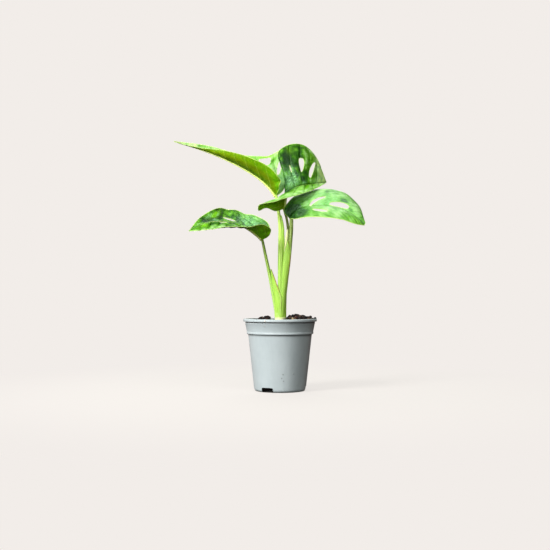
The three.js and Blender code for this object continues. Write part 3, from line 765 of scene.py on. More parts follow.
def broken_bark():
    finish = Finish("broken_bark", 0.8, Specular_IOR_Level=0.4)
    grain = finish.attribute("grain", "Vector")
    fibres = finish.noise(grain, 2.6, 6.0, 0.7)
    colour = finish.ramp(fibres, [
        (0.3, shade(8, 6, 5)), (0.52, shade(30, 19, 15)), (0.64, shade(84, 52, 38)),
        (0.78, shade(150, 108, 78)),
    ])
    patches = finish.rise(finish.noise(finish.place, 240, 3.0), 0.42, 0.56, 0, 0.85)
    colour = finish.blend(patches, colour, shade(11, 8, 7))
    flakes = finish.rise(finish.noise(finish.place, 820, 3.0, 0.6), 0.62, 0.68, 0, 0.8)
    colour = finish.blend(flakes, colour, shade(148, 108, 78))
    ends = finish.rise(finish.noise(finish.place, 310, 2.0, 0.5), 0.6, 0.72, 0, 0.6)
    colour = finish.blend(ends, colour, shade(122, 62, 50))
    rough = finish.bump(finish.noise(finish.place, 900, 4.0, 0.7), 0.6 * MM)
    return finish.done(colour, finish.bump(fibres, 0.7 * MM, rough))


bark_finish = broken_bark()
for number, place_size_turn in enumerate(CHIPS + CLODS, 1):
    is_chip = number <= len(CHIPS)
    name = f"bark_piece_{number}" if is_chip else f"clod_{number}"
    fragment = show(name, chip_mesh(name, number, *place_size_turn, bark_finish))
    if is_chip:
        settle(fragment, "bark", f"bark_chip_{number}")
    else:
        settle(fragment, "compost")


# Flecks that lie on the pot: perlite caught on the front of the rim lip, a crumb of bark in the
# right corner of the front drainage slot, and two on the rim at the right. Each has its place
# and its radius.
FLECKS = {
    "rim_fleck": (-11.8, -27.5, 56.9, 0.62), "slot_crumb": (-6.4, -19.4, 0.9, 0.65),
    "rim_crumb": (28.6, -3.4, 58.9, 0.95), "second_rim_crumb": (27.6, -6.4, 58.7, 0.6),
}


def fleck_mesh(name, x, y, height, radius, material):
    mesh = ball_mesh(name, 3, material)
    for corner in mesh.vertices:
        swell = 1 + 0.5 * noise.noise(corner.co * 1.6 + Vector((x, y, 0)))
        corner.co = (corner.co * radius * swell + Vector((x, y, height))) * MM
    return mesh


for name, place_and_radius in FLECKS.items():
    finish = perlite_finish if name == "rim_fleck" else bark_finish
    settle(show(name, fleck_mesh(name, *place_and_radius, finish)), "compost")


# Stem: short and oval, grown in one with its roots. Living skin, cream at the soil line and
# light yellow-green above it, with the ring of a node at the right and the bases of the stalks
# swelling out of its top. A section has its height, left and right edge, and half depth.
STEM_SECTIONS = [
    (46, -2.6, 3.2, 2.6), (50, -3.7, 4.4, 3.5), (54, -4.15, 4.9, 3.9), (58.3, -4.3, 5.15, 4.1),
    (63, -4.6, 5.05, 4.05), (67, -4.95, 4.95, 3.95), (70, -5.15, 4.9, 3.7), (73, -4.7, 4.5, 3.1),
    (75.5, -3.4, 3.2, 2.1),
]
STEM_SIDES = 96
STEM_STEPS = 90
STEM_FOOT = 45.2
STEM_TOP = 76.3
LOBE_SWELL = 0.05
NODE_HEIGHT = 66.8
NODE_SWELL = 0.075
ROOT_COUNT = 5
ROOT_START = 44
ROOT_BENDS = [(0.55, 0.25), (0.95, 0.6), (1.0, 1.0)]
WIDE_ROOT = (15, 9)
STEEP_ROOT = (11, 15)
ROOT_RADII = (1.4, 1.1, 0.5)


def stem_rings():
    """Oval sections with soft lobes where stalk bases run up, and the ridge of the node."""
    table = np.array(STEM_SECTIONS, float)
    rings = [[(0.2 * MM, 0, STEM_FOOT * MM)]]
    for height in np.linspace(table[0, 0], table[-1, 0], STEM_STEPS):
        left, right, deep = (np.interp(height, table[:, 0], table[:, k]) for k in (1, 2, 3))
        ring = []
        for side in range(STEM_SIDES):
            turn = 2 * math.pi * side / STEM_SIDES
            lobes = LOBE_SWELL * math.cos(3 * turn + 0.9) * min(1.0, max(0.0, (height - 57) / 12))
            streak_spot = Vector((math.cos(turn) * 5, math.sin(turn) * 5, height * 0.05))
            above_node = height - NODE_HEIGHT - 0.35 * math.sin(turn * 2)
            ridge = NODE_SWELL * math.exp(-(above_node / 0.28) ** 2)
            ridge += 0.03 * (above_node < 0) * math.exp(above_node / 2.2)
            ridge *= math.exp(-(math.remainder(turn + 0.9, 2 * math.pi) / 1.1) ** 4)
            swell = 1 + lobes + 0.012 * noise.noise(streak_spot) + ridge
            x = (left + right) / 2 + (right - left) / 2 * math.cos(turn) * swell
            ring.append((x * MM, deep * math.sin(turn) * swell * MM, height * MM))
        rings.append(ring)
    rings.append([(-0.1 * MM, 0, STEM_TOP * MM)])
    return rings


def stem_skin():
    """Cream near the soil, yellower to the right, with pale streaks and a little soil low down."""
    finish = Finish("stem_skin", 0.42, Specular_IOR_Level=0.45, Subsurface_Weight=0.12,
                    Subsurface_Radius=(1.0, 1.0, 0.3), Subsurface_Scale=1.2 * MM)
    place, height = finish.place, finish.axis(finish.place, "Z")
    fine = finish.noise(finish.stretched(place, 1, 1, 0.12), 900, 4.0, 0.6)
    broad = finish.noise(finish.stretched(place, 1, 1, 0.25), 240, 3.0)
    colour = finish.ramp(broad, [(0.3, shade(150, 200, 60)), (0.7, shade(196, 236, 116))])
    to_right = finish.rise(finish.axis(place, "X"), 1.2 * MM, 4.8 * MM, 0, 0.8)
    colour = finish.blend(to_right, colour, shade(160, 208, 48))
    colour = finish.blend(finish.rise(fine, 0.45, 0.75, 0, 0.35), colour, shade(214, 246, 150))
    wavy = finish.plus(height, finish.times(broad, 2.4 * MM))
    colour = finish.blend(finish.rise(wavy, 61.6 * MM, 59.4 * MM), colour, shade(240, 246, 190))
    soiled = finish.rise(finish.noise(place, 800, 4.0), 0.55, 0.68, 0, 0.7)
    low = finish.rise(height, 60 * MM, 57 * MM)
    colour = finish.blend(finish.times(soiled, low), colour, shade(120, 84, 50))
    return finish.done(colour, finish.bump(fine, 0.05 * MM))


def stalk_growth():
    """Carries a grooved round section along a route; girth and position come with the route."""
    tree = GrowthTree("stalk_growth", {
        "Groove": 0.1, "Groove Width": 0.5, "Sides": 24, "Lumps": 0.0, "Twist": 0.0,
    })
    given = tree.given
    where = tree.made("GeometryNodeInputPosition")
    along = tree.made("GeometryNodeSplineParameter")
    route = tree.made("GeometryNodeMeshToCurve", {"Mesh": given["Geometry"]})
    sockets = {"Curve": tree.keep(route, "along", along), "Tilt": tree.times(along, given["Twist"])}
    route = tree.made("GeometryNodeSetCurveTilt", sockets)
    sockets = {"Resolution": given["Sides"], "Radius": 1.0}
    section = tree.made("GeometryNodeCurvePrimitiveCircle", sockets)
    across = tree.axis(where, "X")
    section = tree.keep(section, "round_x", across)
    section = tree.keep(section, "round_y", tree.axis(where, "Y"))
    dip = tree.rise(across, tree.minus(1.0, given["Groove Width"]), 1.0)
    share = tree.minus(1.0, tree.times(dip, given["Groove"]))
    sockets = {"Geometry": section, "Position": tree.scaled(where, share)}
    section = tree.made("GeometryNodeSetPosition", sockets)
    sockets = {"Curve": route, "Profile Curve": section, "Fill Caps": True}
    skin = tree.made("GeometryNodeCurveToMesh", {**sockets, "Scale": tree.kept("girth")})
    lengthened = tree.vector_maths("MULTIPLY", where, (1.0, 1.0, 0.08))
    push = tree.times(tree.minus(tree.noise(lengthened, 900.0, 2.0), 0.5), given["Lumps"])
    outwards = tree.scaled(tree.made("GeometryNodeInputNormal"), push)
    tree.finish_with(tree.moved(skin, outwards))
    return tree


def along_curve(stations, shares):
    """Points on the smooth curve through stations, one row for each share of the way."""
    stations = np.asarray(stations, float)
    last = len(stations) - 1
    place = np.clip(np.asarray(shares, float), 0, 1) * last
    first = np.minimum(place.astype(int), last - 1)
    rest = (place - first)[:, None]
    ahead = 2 * stations[0] - stations[1]
    beyond = 2 * stations[-1] - stations[-2]
    padded = np.vstack([ahead, stations, beyond])
    before, start, end, after = (padded[first + step] for step in range(4))

    def spacing(one, other):
        return np.sqrt(np.linalg.norm(other - one, axis=1))[:, None]

    d0, d1, d2 = spacing(before, start), spacing(start, end), spacing(end, after)
    leave = ((start - before) / d0 - (end - before) / (d0 + d1) + (end - start) / d1) * d1
    arrive = ((end - start) / d1 - (after - start) / (d1 + d2) + (after - end) / d2) * d1
    square = (3 * (end - start) - 2 * leave - arrive) * rest ** 2
    return start + leave * rest + square + (2 * (start - end) + leave + arrive) * rest ** 3


def even_route(stations, step):
    """The same curve at even steps in millimetres, with each point's share of its length."""
    fine = along_curve(stations, np.linspace(0, 1, 600))
    lengths = np.concatenate([[0], np.cumsum(np.linalg.norm(np.diff(fine, axis=0), axis=1))])
    count = max(8, int(lengths[-1] / step))
    wanted = np.linspace(0, lengths[-1], count + 1)
    points = np.stack([np.interp(wanted, lengths, fine[:, axis]) for axis in range(3)], 1)
    return points, wanted / lengths[-1]


def grow_stalk(tree, name, stations, radii, material, step=0.7, **sizes):
    """A stalk, root, rib or rolled leaf; the radii are spread evenly over its length."""
    points, shares = even_route(stations, step)
    girth = np.interp(shares, np.linspace(0, 1, len(radii)), radii) * MM
    mesh = bpy.data.meshes.new("route")
    mesh.from_pydata(points * MM, [(k, k + 1) for k in range(len(points) - 1)], [])
    note(mesh, "girth", girth)
    base = show("route", mesh)
    stalk = tree.grow(name, base, material, {k.replace("_", " "): v for k, v in sizes.items()})
    bpy.data.objects.remove(base)
    stalk.data.set_sharp_from_angle(angle=math.radians(60))
    return stalk


def root_skin():
    finish = Finish("root_skin", 0.6, Specular_IOR_Level=0.35)
    grime_and_painted_shade = finish.noise(finish.place, 500, 4.0, 0.65)
    colour = finish.ramp(grime_and_painted_shade, [(0.35, shade(214, 202, 170)), (0.65, shade(150, 120, 84))])
    return finish.done(colour, finish.bump(grime_and_painted_shade, 0.15 * MM))


stalk_tree = stalk_growth()
stem = show("stem", mesh_of("stem", *skinned(stem_rings()), stem_skin(), 60))
settle(stem, "stem", "stem_and_roots")
root_finish = root_skin()
for root in range(ROOT_COUNT):
    turn = 2 * math.pi * (root + 0.3) / ROOT_COUNT
    reach, tip = WIDE_ROOT if root % 2 == 0 else STEEP_ROOT
    way = [(0.08, ROOT_START + 3)]
    way += [(out, ROOT_START + (tip - ROOT_START) * down) for out, down in ROOT_BENDS]
    stations = [(reach * out * math.cos(turn), reach * out * math.sin(turn), z) for out, z in way]
    thread = grow_stalk(stalk_tree, f"root_{root + 1}", stations, ROOT_RADII, root_finish,
                        Sides=12, Groove=0.0, Lumps=0.3 * MM)
    settle(thread, "stem")


# Leaf stalks: four, each rising from the top of the stem to the foot of its blade. Smooth
# living skin with fine lengthwise streaks and a shallow channel, light yellow-green low down;
# the two on the right turn dark olive towards their blades.
STALKS = {
    "stalk_lower_left": dict(
        solid="petiole_lower_left", slot="stalk",
        low=(180, 228, 100), high=(136, 172, 34), turns=(0.3, 0.95),
        route=[(-1.6, 0.4, 60), (-3.1, 0, 67), (-5.8, -1, 81), (-9, -3, 97), (-12, -5, 111),
               (-14.3, -6, 122), (-14.6, -6.2, 123.2)],
        radii=(2.2, 1.9, 1.75, 1.6, 1.4, 1.25, 1.15, 1.05),
    ),
    "stalk_upper_left": dict(
        solid="petiole_upper_left", slot="stalk",
        low=(172, 222, 76), high=(208, 242, 104), turns=(0.35, 0.8),
        route=[(0.3, -1.4, 60), (0.2, -2.2, 67), (0.3, -2, 84), (0.4, -1.2, 100), (0.5, -0.4, 118),
               (0.3, 0.6, 132), (-1.4, 1.8, 147), (-3.1, 2.4, 158.5), (-3.6, 2.8, 160)],
        radii=(2.7, 2.4, 2.35, 2.4, 2.5, 2.45, 2.1, 1.6, 1.3, 1.2),
    ),
    "stalk_upper_right": dict(
        solid="petiole_upper_right", slot="stalk_dark",
        low=(150, 198, 56), high=(112, 124, 18), turns=(0.45, 0.8),
        route=[(0.6, 1.8, 60), (0.2, 2.6, 67), (2.6, 2.8, 82), (6, 3, 104), (6.6, 3.6, 122),
               (6.5, 4.8, 134), (5.2, 5.2, 142), (3.4, 4, 147.7), (3.2, 3.6, 148.8)],
        radii=(1.9, 1.6, 1.45, 1.35, 1.25, 1.2, 1.15, 1.1, 1.0),
    ),
    "stalk_right": dict(
        solid="petiole_right", slot="stalk_dark",
        low=(170, 220, 70), high=(104, 128, 26), turns=(0.5, 0.85),
        route=[(2.4, 0.2, 60), (3.2, 0.2, 67), (3.9, -0.8, 81), (6.8, -1.4, 103), (8.1, -2, 118),
               (9.0, -3, 130), (9.3, -3.4, 138.7), (9.3, -3.5, 140)],
        radii=(2.1, 1.9, 1.75, 1.65, 1.6, 1.65, 1.7, 1.7, 1.5),
    ),
}


def stalk_skin(name, low, high, turns):
    """Colour goes from low to high between two shares of the length, over fine streaks."""
    finish = Finish(name, 0.4, Specular_IOR_Level=0.32, Subsurface_Weight=0.1,
                    Subsurface_Radius=(1.0, 1.0, 0.3), Subsurface_Scale=0.8 * MM)
    along = finish.attribute("along")
    around = finish.vector(finish.attribute("round_x"), finish.attribute("round_y"), along)
    streaks = finish.noise(finish.stretched(around, 2.4, 2.4, 1.6), 2.0, 5.0, 0.6)
    uneven = finish.plus(along, finish.times(streaks, 0.25))
    change = finish.rise(uneven, turns[0] + 0.12, turns[1] + 0.12)
    colour = finish.blend(change, shade(*low), shade(*high))
    darker = finish.rise(streaks, 0.42, 0.62, 0, 0.5)
    colour = finish.blend(darker, colour, shade(96, 136, 24), "MULTIPLY")
    pale = finish.rise(streaks, 0.55, 0.36, 0, 0.45)
    colour = finish.blend(pale, colour, shade(222, 246, 160))
    specks = finish.rise(finish.noise(finish.place, 1500, 3.0, 0.7), 0.66, 0.76, 0, 0.5)
    colour = finish.blend(specks, colour, shade(224, 240, 170))
    lines = finish.noise(finish.stretched(around, 9, 9, 1.0), 2.0, 2.0)
    return finish.done(colour, finish.bump(lines, 0.12 * MM))


for name, stalk in STALKS.items():
    skin = stalk_skin(f"skin_of_{name}", stalk["low"], stalk["high"], stalk["turns"])
    piece = grow_stalk(stalk_tree, name, stalk["route"], stalk["radii"], skin,
                       Sides=36, Groove=0.12, Groove_Width=0.35, Lumps=0.12 * MM)
    settle(piece, stalk["slot"], stalk["solid"])


# Rolled new leaf: cream-green, still wound up like a scroll, standing between the stalks. The
# open edge of the scroll runs up it as a spiral groove.
NEW_LEAF_ROUTE = [
    (3.4, 0, 92), (3.6, -0.2, 98), (4.2, -0.9, 110), (5.2, -2.2, 121), (6.2, -2.6, 131.3),
]
NEW_LEAF_RADII = (1.0, 1.2, 1.3, 1.35, 1.35, 1.2, 0.4)

roll_finish = stalk_skin("skin_of_new_leaf", (214, 226, 140), (238, 236, 176), (0.2, 0.7))
new_leaf = grow_stalk(stalk_tree, "rolled_new_leaf", NEW_LEAF_ROUTE, NEW_LEAF_RADII, roll_finish,
                      step=0.4, Sides=36, Groove=0.3, Groove_Width=0.12, Twist=5.5, Lumps=0.05 * MM)
settle(new_leaf, "new_leaf", "new_leaf")


# Sheath wings: papery skins that grow along the stalks and wrap the stalk inside them. Each is
# a thin sheet between an inner and an outer edge, cupped across, with a dry brown outer edge.
SHEATHS = {
    "sheath_lower_left": dict(
        inner=[(-7.6, -3.3, 98.6), (-6.6, -2.6, 88), (-5.2, -2.8, 80), (-4.4, -2.8, 72),
               (-3.8, -2.2, 63)],
        outer=[(-6.9, -3.8, 98.6), (-3.3, -4.2, 89), (-1.0, -4.8, 82), (1.2, -5.0, 74),
               (0.6, -4.4, 64)],
        cup=0.7,
    ),
    "sheath_upper_left": dict(
        inner=[(0.6, 0.2, 142.8), (1.5, -1.0, 134), (1.8, -1.9, 124), (1.6, -2.6, 108), (1.0, -3.4, 92)],
        outer=[(1.3, 0.6, 143), (3.1, -0.4, 135), (3.7, -1.0, 124), (3.4, -1.8, 108), (2.6, -3.0, 92)],
        cup=0.25,
    ),
    "sheath_right": dict(
        inner=[(6.4, -3.1, 121.5), (3.4, -2.8, 112), (2.2, -3.4, 100), (1.6, -4.0, 86),
               (1.2, -4.5, 72), (0.8, -4.0, 60)],
        outer=[(6.9, -3.6, 121.5), (9.0, -2.6, 112), (8.0, -2.2, 100), (6.3, -1.9, 86),
               (4.9, -1.6, 72), (4.4, -1.2, 60)],
        cup=0.75,
    ),
}
SHEATH_THICKNESS = 0.22
SHEATH_FRILL = 0.22
SHEATH_ROWS = 120
SHEATH_COLUMNS = 16


def closed_sheet(upper, lower, triangles):
    """Joins the two faces of a thin sheet round every free edge, and returns all its faces."""
    count = len(upper)
    edges = set()
    for triangle in triangles:
        for start, end in zip(triangle, (*triangle[1:], triangle[0])):
            if (end, start) in edges:
                edges.remove((end, start))
            else:
                edges.add((start, end))
    faces = [tuple(triangle) for triangle in triangles]
    faces += [tuple(count + corner for corner in reversed(triangle)) for triangle in triangles]
    rim = sorted(edges)
    faces += [(end, start, count + start, count + end) for start, end in rim]
    return np.vstack([upper, lower]), faces, rim


def outward_facing(mesh):
    """Turns every face of a closed mesh outwards."""
    shell = bmesh.new()
    shell.from_mesh(mesh)
    bmesh.ops.recalc_face_normals(shell, faces=shell.faces)
    shell.to_mesh(mesh)
    shell.free()


def sheath_mesh(name, inner, outer, cup, material):
    """A cupped sheet from the inner to the outer edge, thinner and frilled towards the outer."""
    rows = np.linspace(0, 1, SHEATH_ROWS)
    columns = np.linspace(0, 1, SHEATH_COLUMNS)
    inside_edge, outside_edge = along_curve(inner, rows), along_curve(outer, rows)
    sheet, half_thickness = [], []
    for row, (start, end) in enumerate(zip(inside_edge, outside_edge)):
        lengthways = inside_edge[min(row + 1, SHEATH_ROWS - 1)] - inside_edge[max(row - 1, 0)]
        out = np.cross(lengthways, end - start)
        out /= np.linalg.norm(out) * (-1 if out[1] > 0 else 1)
        for share in columns:
            spot = Vector((row * 0.09, share * 2, len(name)))
            bulge = cup * 4 * share * (1 - share) + SHEATH_FRILL * noise.noise(spot) * share ** 2
            sheet.append(start + (end - start) * share + out * bulge)
            half_thickness.append(out * SHEATH_THICKNESS * (0.5 - 0.32 * share))
    sheet, half_thickness = np.array(sheet), np.array(half_thickness)
    quads = []
    for row in range(SHEATH_ROWS - 1):
        for column in range(SHEATH_COLUMNS - 1):
            first = row * SHEATH_COLUMNS + column
            quads.append((first, first + SHEATH_COLUMNS, first + SHEATH_COLUMNS + 1, first + 1))
    corners, faces, _ = closed_sheet(sheet + half_thickness, sheet - half_thickness, quads)
    mesh = mesh_of(name, corners * MM, faces, material, 70)
    note(mesh, "across", np.tile(columns, SHEATH_ROWS * 2))
    note(mesh, "down", np.tile(np.repeat(rows, SHEATH_COLUMNS), 2))
    outward_facing(mesh)
    return mesh


def papery_sheath():
    """Pale veined skin, paler towards the outer edge and dried brown along its lower stretch."""
    finish = Finish("papery_sheath", 0.38, Specular_IOR_Level=0.32, Subsurface_Weight=0.15,
                    Subsurface_Radius=(1.0, 1.0, 0.4), Subsurface_Scale=0.6 * MM)
    across, down = finish.attribute("across"), finish.attribute("down")
    veins = finish.noise(finish.stretched(finish.vector(across, down), 9, 0.8, 1), 3.0, 4.0, 0.6)
    colour = finish.ramp(veins, [
        (0.3, shade(142, 196, 56)), (0.5, shade(164, 212, 76)), (0.7, shade(186, 226, 108)),
    ])
    # Partly painted light: the paler outer edge is also painted as light shining through the thin edge.
    colour = finish.blend(finish.rise(across, 0.84, 0.96, 0, 0.8), colour, shade(208, 236, 120))
    dry = finish.times(finish.rise(across, 0.78, 0.94), finish.rise(down, 0.7, 0.35))
    colour = finish.blend(finish.times(dry, 0.85), colour, shade(168, 112, 62))
    return finish.done(colour, finish.bump(veins, 0.1 * MM))


sheath_finish = papery_sheath()
for name, wing in SHEATHS.items():
    mesh = sheath_mesh(f"wing_{name}", wing["inner"], wing["outer"], wing["cup"], sheath_finish)
    settle(show(f"wing_{name}", mesh), "sheath", name)


# Blades: four perforated leaves. Each is a thin living sheet between a midrib and two margins,
# puckered between its side veins, grooved over the midrib, with smooth oval holes and a pale
# rolled edge round the margin and every hole. Glossy green above, matt and yellower below.
BLADE_THICKNESS = 0.42
ROLLED_EDGE = 0.8
MIDRIB_GROOVE = 0.45
MIDRIB_GROOVE_WIDTH = 0.7
PUCKER_SCALE = 0.19
CELL = 0.62
CELL_CLEARANCE = 0.42

# Stations run from the foot to the tip. A place on a blade is the share of the way to the tip
# and the share of the half's width, negative on the half nearer the viewer. A hole has its two
# ends, its width, how pointed it is, its taper and its bend. A patch is a soft spot of colour:
# its kind, place, reach along and across, and strength.
# Light and deep patches are partly the leaf's own marbling and partly painted light and shade; the pale
# mint patches are painted sheen, reflections and glints of the bright surroundings; the underside tones
# and gold patches partly paint light shining through the leaf.
BLADES = {
    "blade_upper_left": dict(
        solid="leaf_upper_left", upper=-1, veins=9, sweep=0.4, quilt=0.4, pucker=0.8,
        base=0.62, under_base=0.36, ruffle=1.7,
        midrib=[(-3.2, 2.8, 159.3), (-6.2, 4, 163.8), (-11.2, 6, 169.3), (-19, 8, 176),
                (-34, 11, 185.4), (-52, 15, 194.4), (-71, 20, 202), (-90, 23, 208)],
        near=[(-2.6, 1.4, 159.7), (-0.6, -6, 165), (0, -10, 171.4), (-6, -11, 179),
              (-21, -7, 188.2), (-43, 3, 196.3), (-67, 16, 201.6), (-90, 22.6, 207.6)],
        far=[(-2.4, 4.4, 159.4), (3.4, 10, 166.4), (7, 17, 182), (2, 20, 200),
             (-12, 23, 195.6), (-34, 25, 197.6), (-59, 26.5, 204.7), (-90, 23.4, 208.4)],
        near_bow=0.1, far_bow=0.1,
        holes=[((0.575, 0.74), (0.465, 0.66), 7.4, 0.55, 0.25, 0),
               ((0.38, 0.8), (0.31, 0.6), 3.2, 0.8, 0, 0)],
        patches=[
            ("light", 0.55, 0.5, 0.3, 0.7, 0.28), ("light", 0.9, 0.5, 0.15, 0.8, 0.2),
            ("deep", 0.44, 0.66, 0.035, 0.16, 0.55), ("gold", 0.56, 0.92, 0.06, 0.08, 0.9),
            ("bloom", 0.25, 0.72, 0.09, 0.3, 0.8), ("bloom", 0.45, 0.42, 0.05, 0.12, 0.6),
            ("deep", 0.84, 0.7, 0.02, 0.2, 0.3), ("deep", 0.89, 0.8, 0.015, 0.2, 0.35),
            ("brown", 1, 0, 0.035, 1.5, 0.85),
        ],
        under_patches=[
            ("brown", 0.42, -0.52, 0.3, 0.17, 0.5), ("brown", 0.2, -0.35, 0.1, 0.2, 0.4),
            ("gold", 0.3, -0.85, 0.3, 0.25, 0.35), ("light", 0.7, -0.6, 0.2, 0.5, 0.14),
            ("deep", 0.93, -0.5, 0.07, 0.8, 0.3),
        ],
    ),
    "blade_upper_right": dict(
        solid="leaf_upper_right", upper=1, veins=8, sweep=0.12, quilt=0.7, pucker=1.3,
        base=0.17, under_base=0.62, ruffle=0.7,
        midrib=[(3.2, 3.4, 148.6), (3.5, 3.2, 152.5), (4.2, 2.4, 157), (5.4, 2, 161.4),
                (11, 3.4, 165.7), (17.8, 6.5, 168.5), (25.7, 11.5, 170.2), (33.1, 18.5, 171.9),
                (39.5, 27, 173.8)],
        near=[(2.6, 2.2, 148.2), (-3.5, -3, 145.9), (-11, -9, 147.9), (-17.3, -12, 145.5),
              (-16.8, -15, 149.7), (-4, -16, 152.5), (12, -11.5, 157.8), (23.4, -4.5, 161.9),
              (32.9, 9.5, 167.7), (39.5, 26.6, 173.4)],
        far=[(3.8, 4.6, 149), (4.6, 8, 152.5), (5, 11, 162), (5.2, 11, 184.2), (-2, 10, 195.9),
             (6.5, 13, 203.1), (18.7, 18, 204.6), (30.6, 25, 195.3), (39.5, 27.4, 174.2)],
        near_bow=-0.04, far_bow=0.05,
        holes=[((0.7, 0.62), (0.665, 0.3), 4.2, 0.7, -0.5, 0),
               ((0.835, 0.63), (0.745, 0.16), 3.4, 0.7, 0.2, 0),
               ((0.565, 0.52), (0.555, 0.36), 0.8, 0.8, 0, 0)],
        # The strongest light patches, on the right of the far half and over the near half, are painted
        # light.
        patches=[
            ("light", 0.92, 0.4, 0.12, 0.7, 1.0), ("light", 0.84, 0.97, 0.1, 0.12, 0.55),
            ("gold", 0.62, 0.86, 0.03, 0.1, 0.35), ("light", 0.75, 0.7, 0.02, 0.14, 0.35),
            ("gold", 0.83, 0.76, 0.035, 0.1, 0.65), ("light", 0.72, 0.45, 0.02, 0.12, 0.3),
            ("light", 0.68, 0.84, 0.02, 0.05, 0.4), ("light", 0.52, 0.8, 0.02, 0.05, 0.25),
            ("bloom", 0.48, 0.16, 0.11, 0.22, 0.95), ("bloom", 0.57, 0.24, 0.03, 0.22, 0.8),
            ("deep", 0.66, 0.13, 0.025, 0.07, 0.5), ("bloom", 0.66, 0.04, 0.03, 0.04, 0.5),
            ("deep", 0.47, 0.34, 0.06, 0.1, 0.25), ("deep", 0.6, 0.3, 0.008, 0.3, 0.3),
            ("light", 0.6, -0.6, 0.5, 0.6, 0.62), ("gold", 0.66, -0.35, 0.06, 0.2, 0.6),
        ],
        under_patches=[("light", 0.32, -0.9, 0.12, 0.25, 0.2), ("gold", 0.3, -0.9, 0.3, 0.6, 0.7)],
    ),
    "blade_right": dict(
        solid="leaf_right", upper=1, veins=8, sweep=0.6, quilt=0.35, pucker=0.8,
        base=0.52, under_base=0.4, ruffle=0.6,
        midrib=[(8.8, -3.4, 139.7), (10.7, -3.5, 144), (16, -4, 147.5), (25, -6, 149.5),
                (36, -9, 150), (47, -12, 147.5), (58, -16, 142), (67.3, -21, 133.3)],
        near=[(9, -4.8, 139.4), (13, -9, 139), (20, -15, 139.8), (29, -21, 139.4),
              (40, -25, 138.4), (50, -26, 136.7), (59, -25, 133.6), (66.8, -21.5, 132.6)],
        far=[(7.6, -2.6, 140.1), (3, -3, 145.5), (8.8, 2.4, 156.6), (23, 9.5, 164.2),
             (40, 11, 165.8), (53, 6, 162), (64, -3, 151), (68, -20, 135)],
        near_bow=0.12, far_bow=0.12,
        holes=[((0.42, 0.04), (0.57, 0.34), 3.4, 0.9, 0, 0.9),
               ((0.62, 0.08), (0.8, 0.2), 5.2, 0.6, 0.25, 0),
               ((0.43, -0.5), (0.56, -0.68), 3, 0.9, 0, 0)],
        patches=[
            ("deep", 0.1, 0.1, 0.2, 1.3, 0.6), ("deep", 0.27, 0.15, 0.07, 0.35, 0.3),
            ("bloom", 0.6, 0.1, 0.3, 1, 0.6),
            ("deep", 0.28, -0.4, 0.08, 0.3, 0.3), ("light", 0.5, 0.75, 0.14, 0.4, 0.24),
            ("deep", 0.57, 0.62, 0.02, 0.2, 0.35), ("bloom", 0.53, 0.2, 0.08, 0.2, 0.35),
            ("deep", 0.75, 0.4, 0.045, 0.09, 0.7), ("light", 0.85, 0.6, 0.1, 0.4, 0.28),
            ("gold", 0.72, 0.82, 0.05, 0.15, 0.4), ("deep", 0.83, 0.15, 0.02, 0.06, 0.4),
            ("bloom", 0.87, 0.14, 0.02, 0.06, 0.5), ("light", 0.6, -0.5, 0.16, 0.5, 0.2),
            ("gold", 0.86, -0.7, 0.12, 0.35, 0.55), ("deep", 0.97, 0, 0.05, 1, 0.3),
        ],
        under_patches=[("gold", 0.5, 0, 0.5, 0.6, 0.3)],
    ),
    "blade_lower_left": dict(
        solid="leaf_lower_left", upper=-1, veins=8, sweep=0.5, quilt=1.0, pucker=1.3,
        base=0.36, under_base=0.6, ruffle=0.9,
        midrib=[(-14.4, -6.1, 122.9), (-17.8, -7.5, 125.9), (-22.3, -9.5, 129.3), (-28, -12, 132.6),
                (-37, -15, 136), (-49, -20, 136.5), (-61, -25, 134), (-72, -28, 128)],
        near=[(-13.6, -7, 122.6), (-8.9, -12, 125.2), (-7.2, -17, 130), (-12.8, -22, 133.6),
              (-24, -28, 131.4), (-38, -33, 130.8), (-53.4, -35, 128.9), (-71.8, -28.4, 127.6)],
        far=[(-14.3, -5.2, 123.3), (-8.4, -2, 131.5), (-11, 2, 138), (-21.4, 4, 143.4),
             (-28.8, 3.5, 144.6), (-35, 2.5, 147.4), (-42, 0.5, 147.8), (-49.8, -3, 148.9),
             (-64, -15, 140), (-71.6, -27.6, 128.4)],
        near_bow=0.12, far_bow=0.12,
        holes=[((0.69, 0.5), (0.55, 0.2), 3.2, 0.85, -0.2, 0.6),
               ((0.715, -0.1), (0.66, -0.14), 1.1, 0.8, 0, 0)],
        patches=[
            ("bloom", 0.36, 0.6, 0.16, 0.45, 0.85), ("deep", 0.52, 0.5, 0.02, 0.3, 0.4),
            ("deep", 0.73, 0.6, 0.025, 0.3, 0.6), ("gold", 0.78, 0.68, 0.04, 0.22, 0.9),
            ("bloom", 0.76, 0.65, 0.012, 0.1, 0.6), ("deep", 0.82, 0.34, 0.035, 0.2, 0.9),
            ("deep", 0.44, 0.3, 0.015, 0.3, 0.3), ("deep", 0.6, 0.7, 0.02, 0.3, 0.4),
            ("bloom", 0.83, 0.72, 0.02, 0.12, 0.6), ("bloom", 0.89, 0.3, 0.02, 0.15, 0.5),
            ("bloom", 0.765, 0.28, 0.03, 0.12, 0.4), ("bloom", 0.735, 0.1, 0.015, 0.06, 0.7),
            ("deep", 0.64, 0.95, 0.03, 0.1, 0.4), ("deep", 0.76, 0.97, 0.025, 0.08, 0.4),
            ("light", 0.8, -0.7, 0.3, 0.4, 0.34), ("gold", 0.86, -0.2, 0.03, 0.2, 0.6),
            ("light", 0.45, 0.9, 0.2, 0.2, 0.12),
        ],
        under_patches=[("gold", 0.2, -0.5, 0.4, 1, 0.8)],
    ),
}
PATCH_KINDS = ("tone", "bloom", "gold", "brown")
HOLE_CORNERS = 40
RIB_STATIONS = 40
RIB_REACH = 0.97
RIB_RADII = (0.95, 0.8, 0.66, 0.55, 0.45, 0.36, 0.28, 0.16)


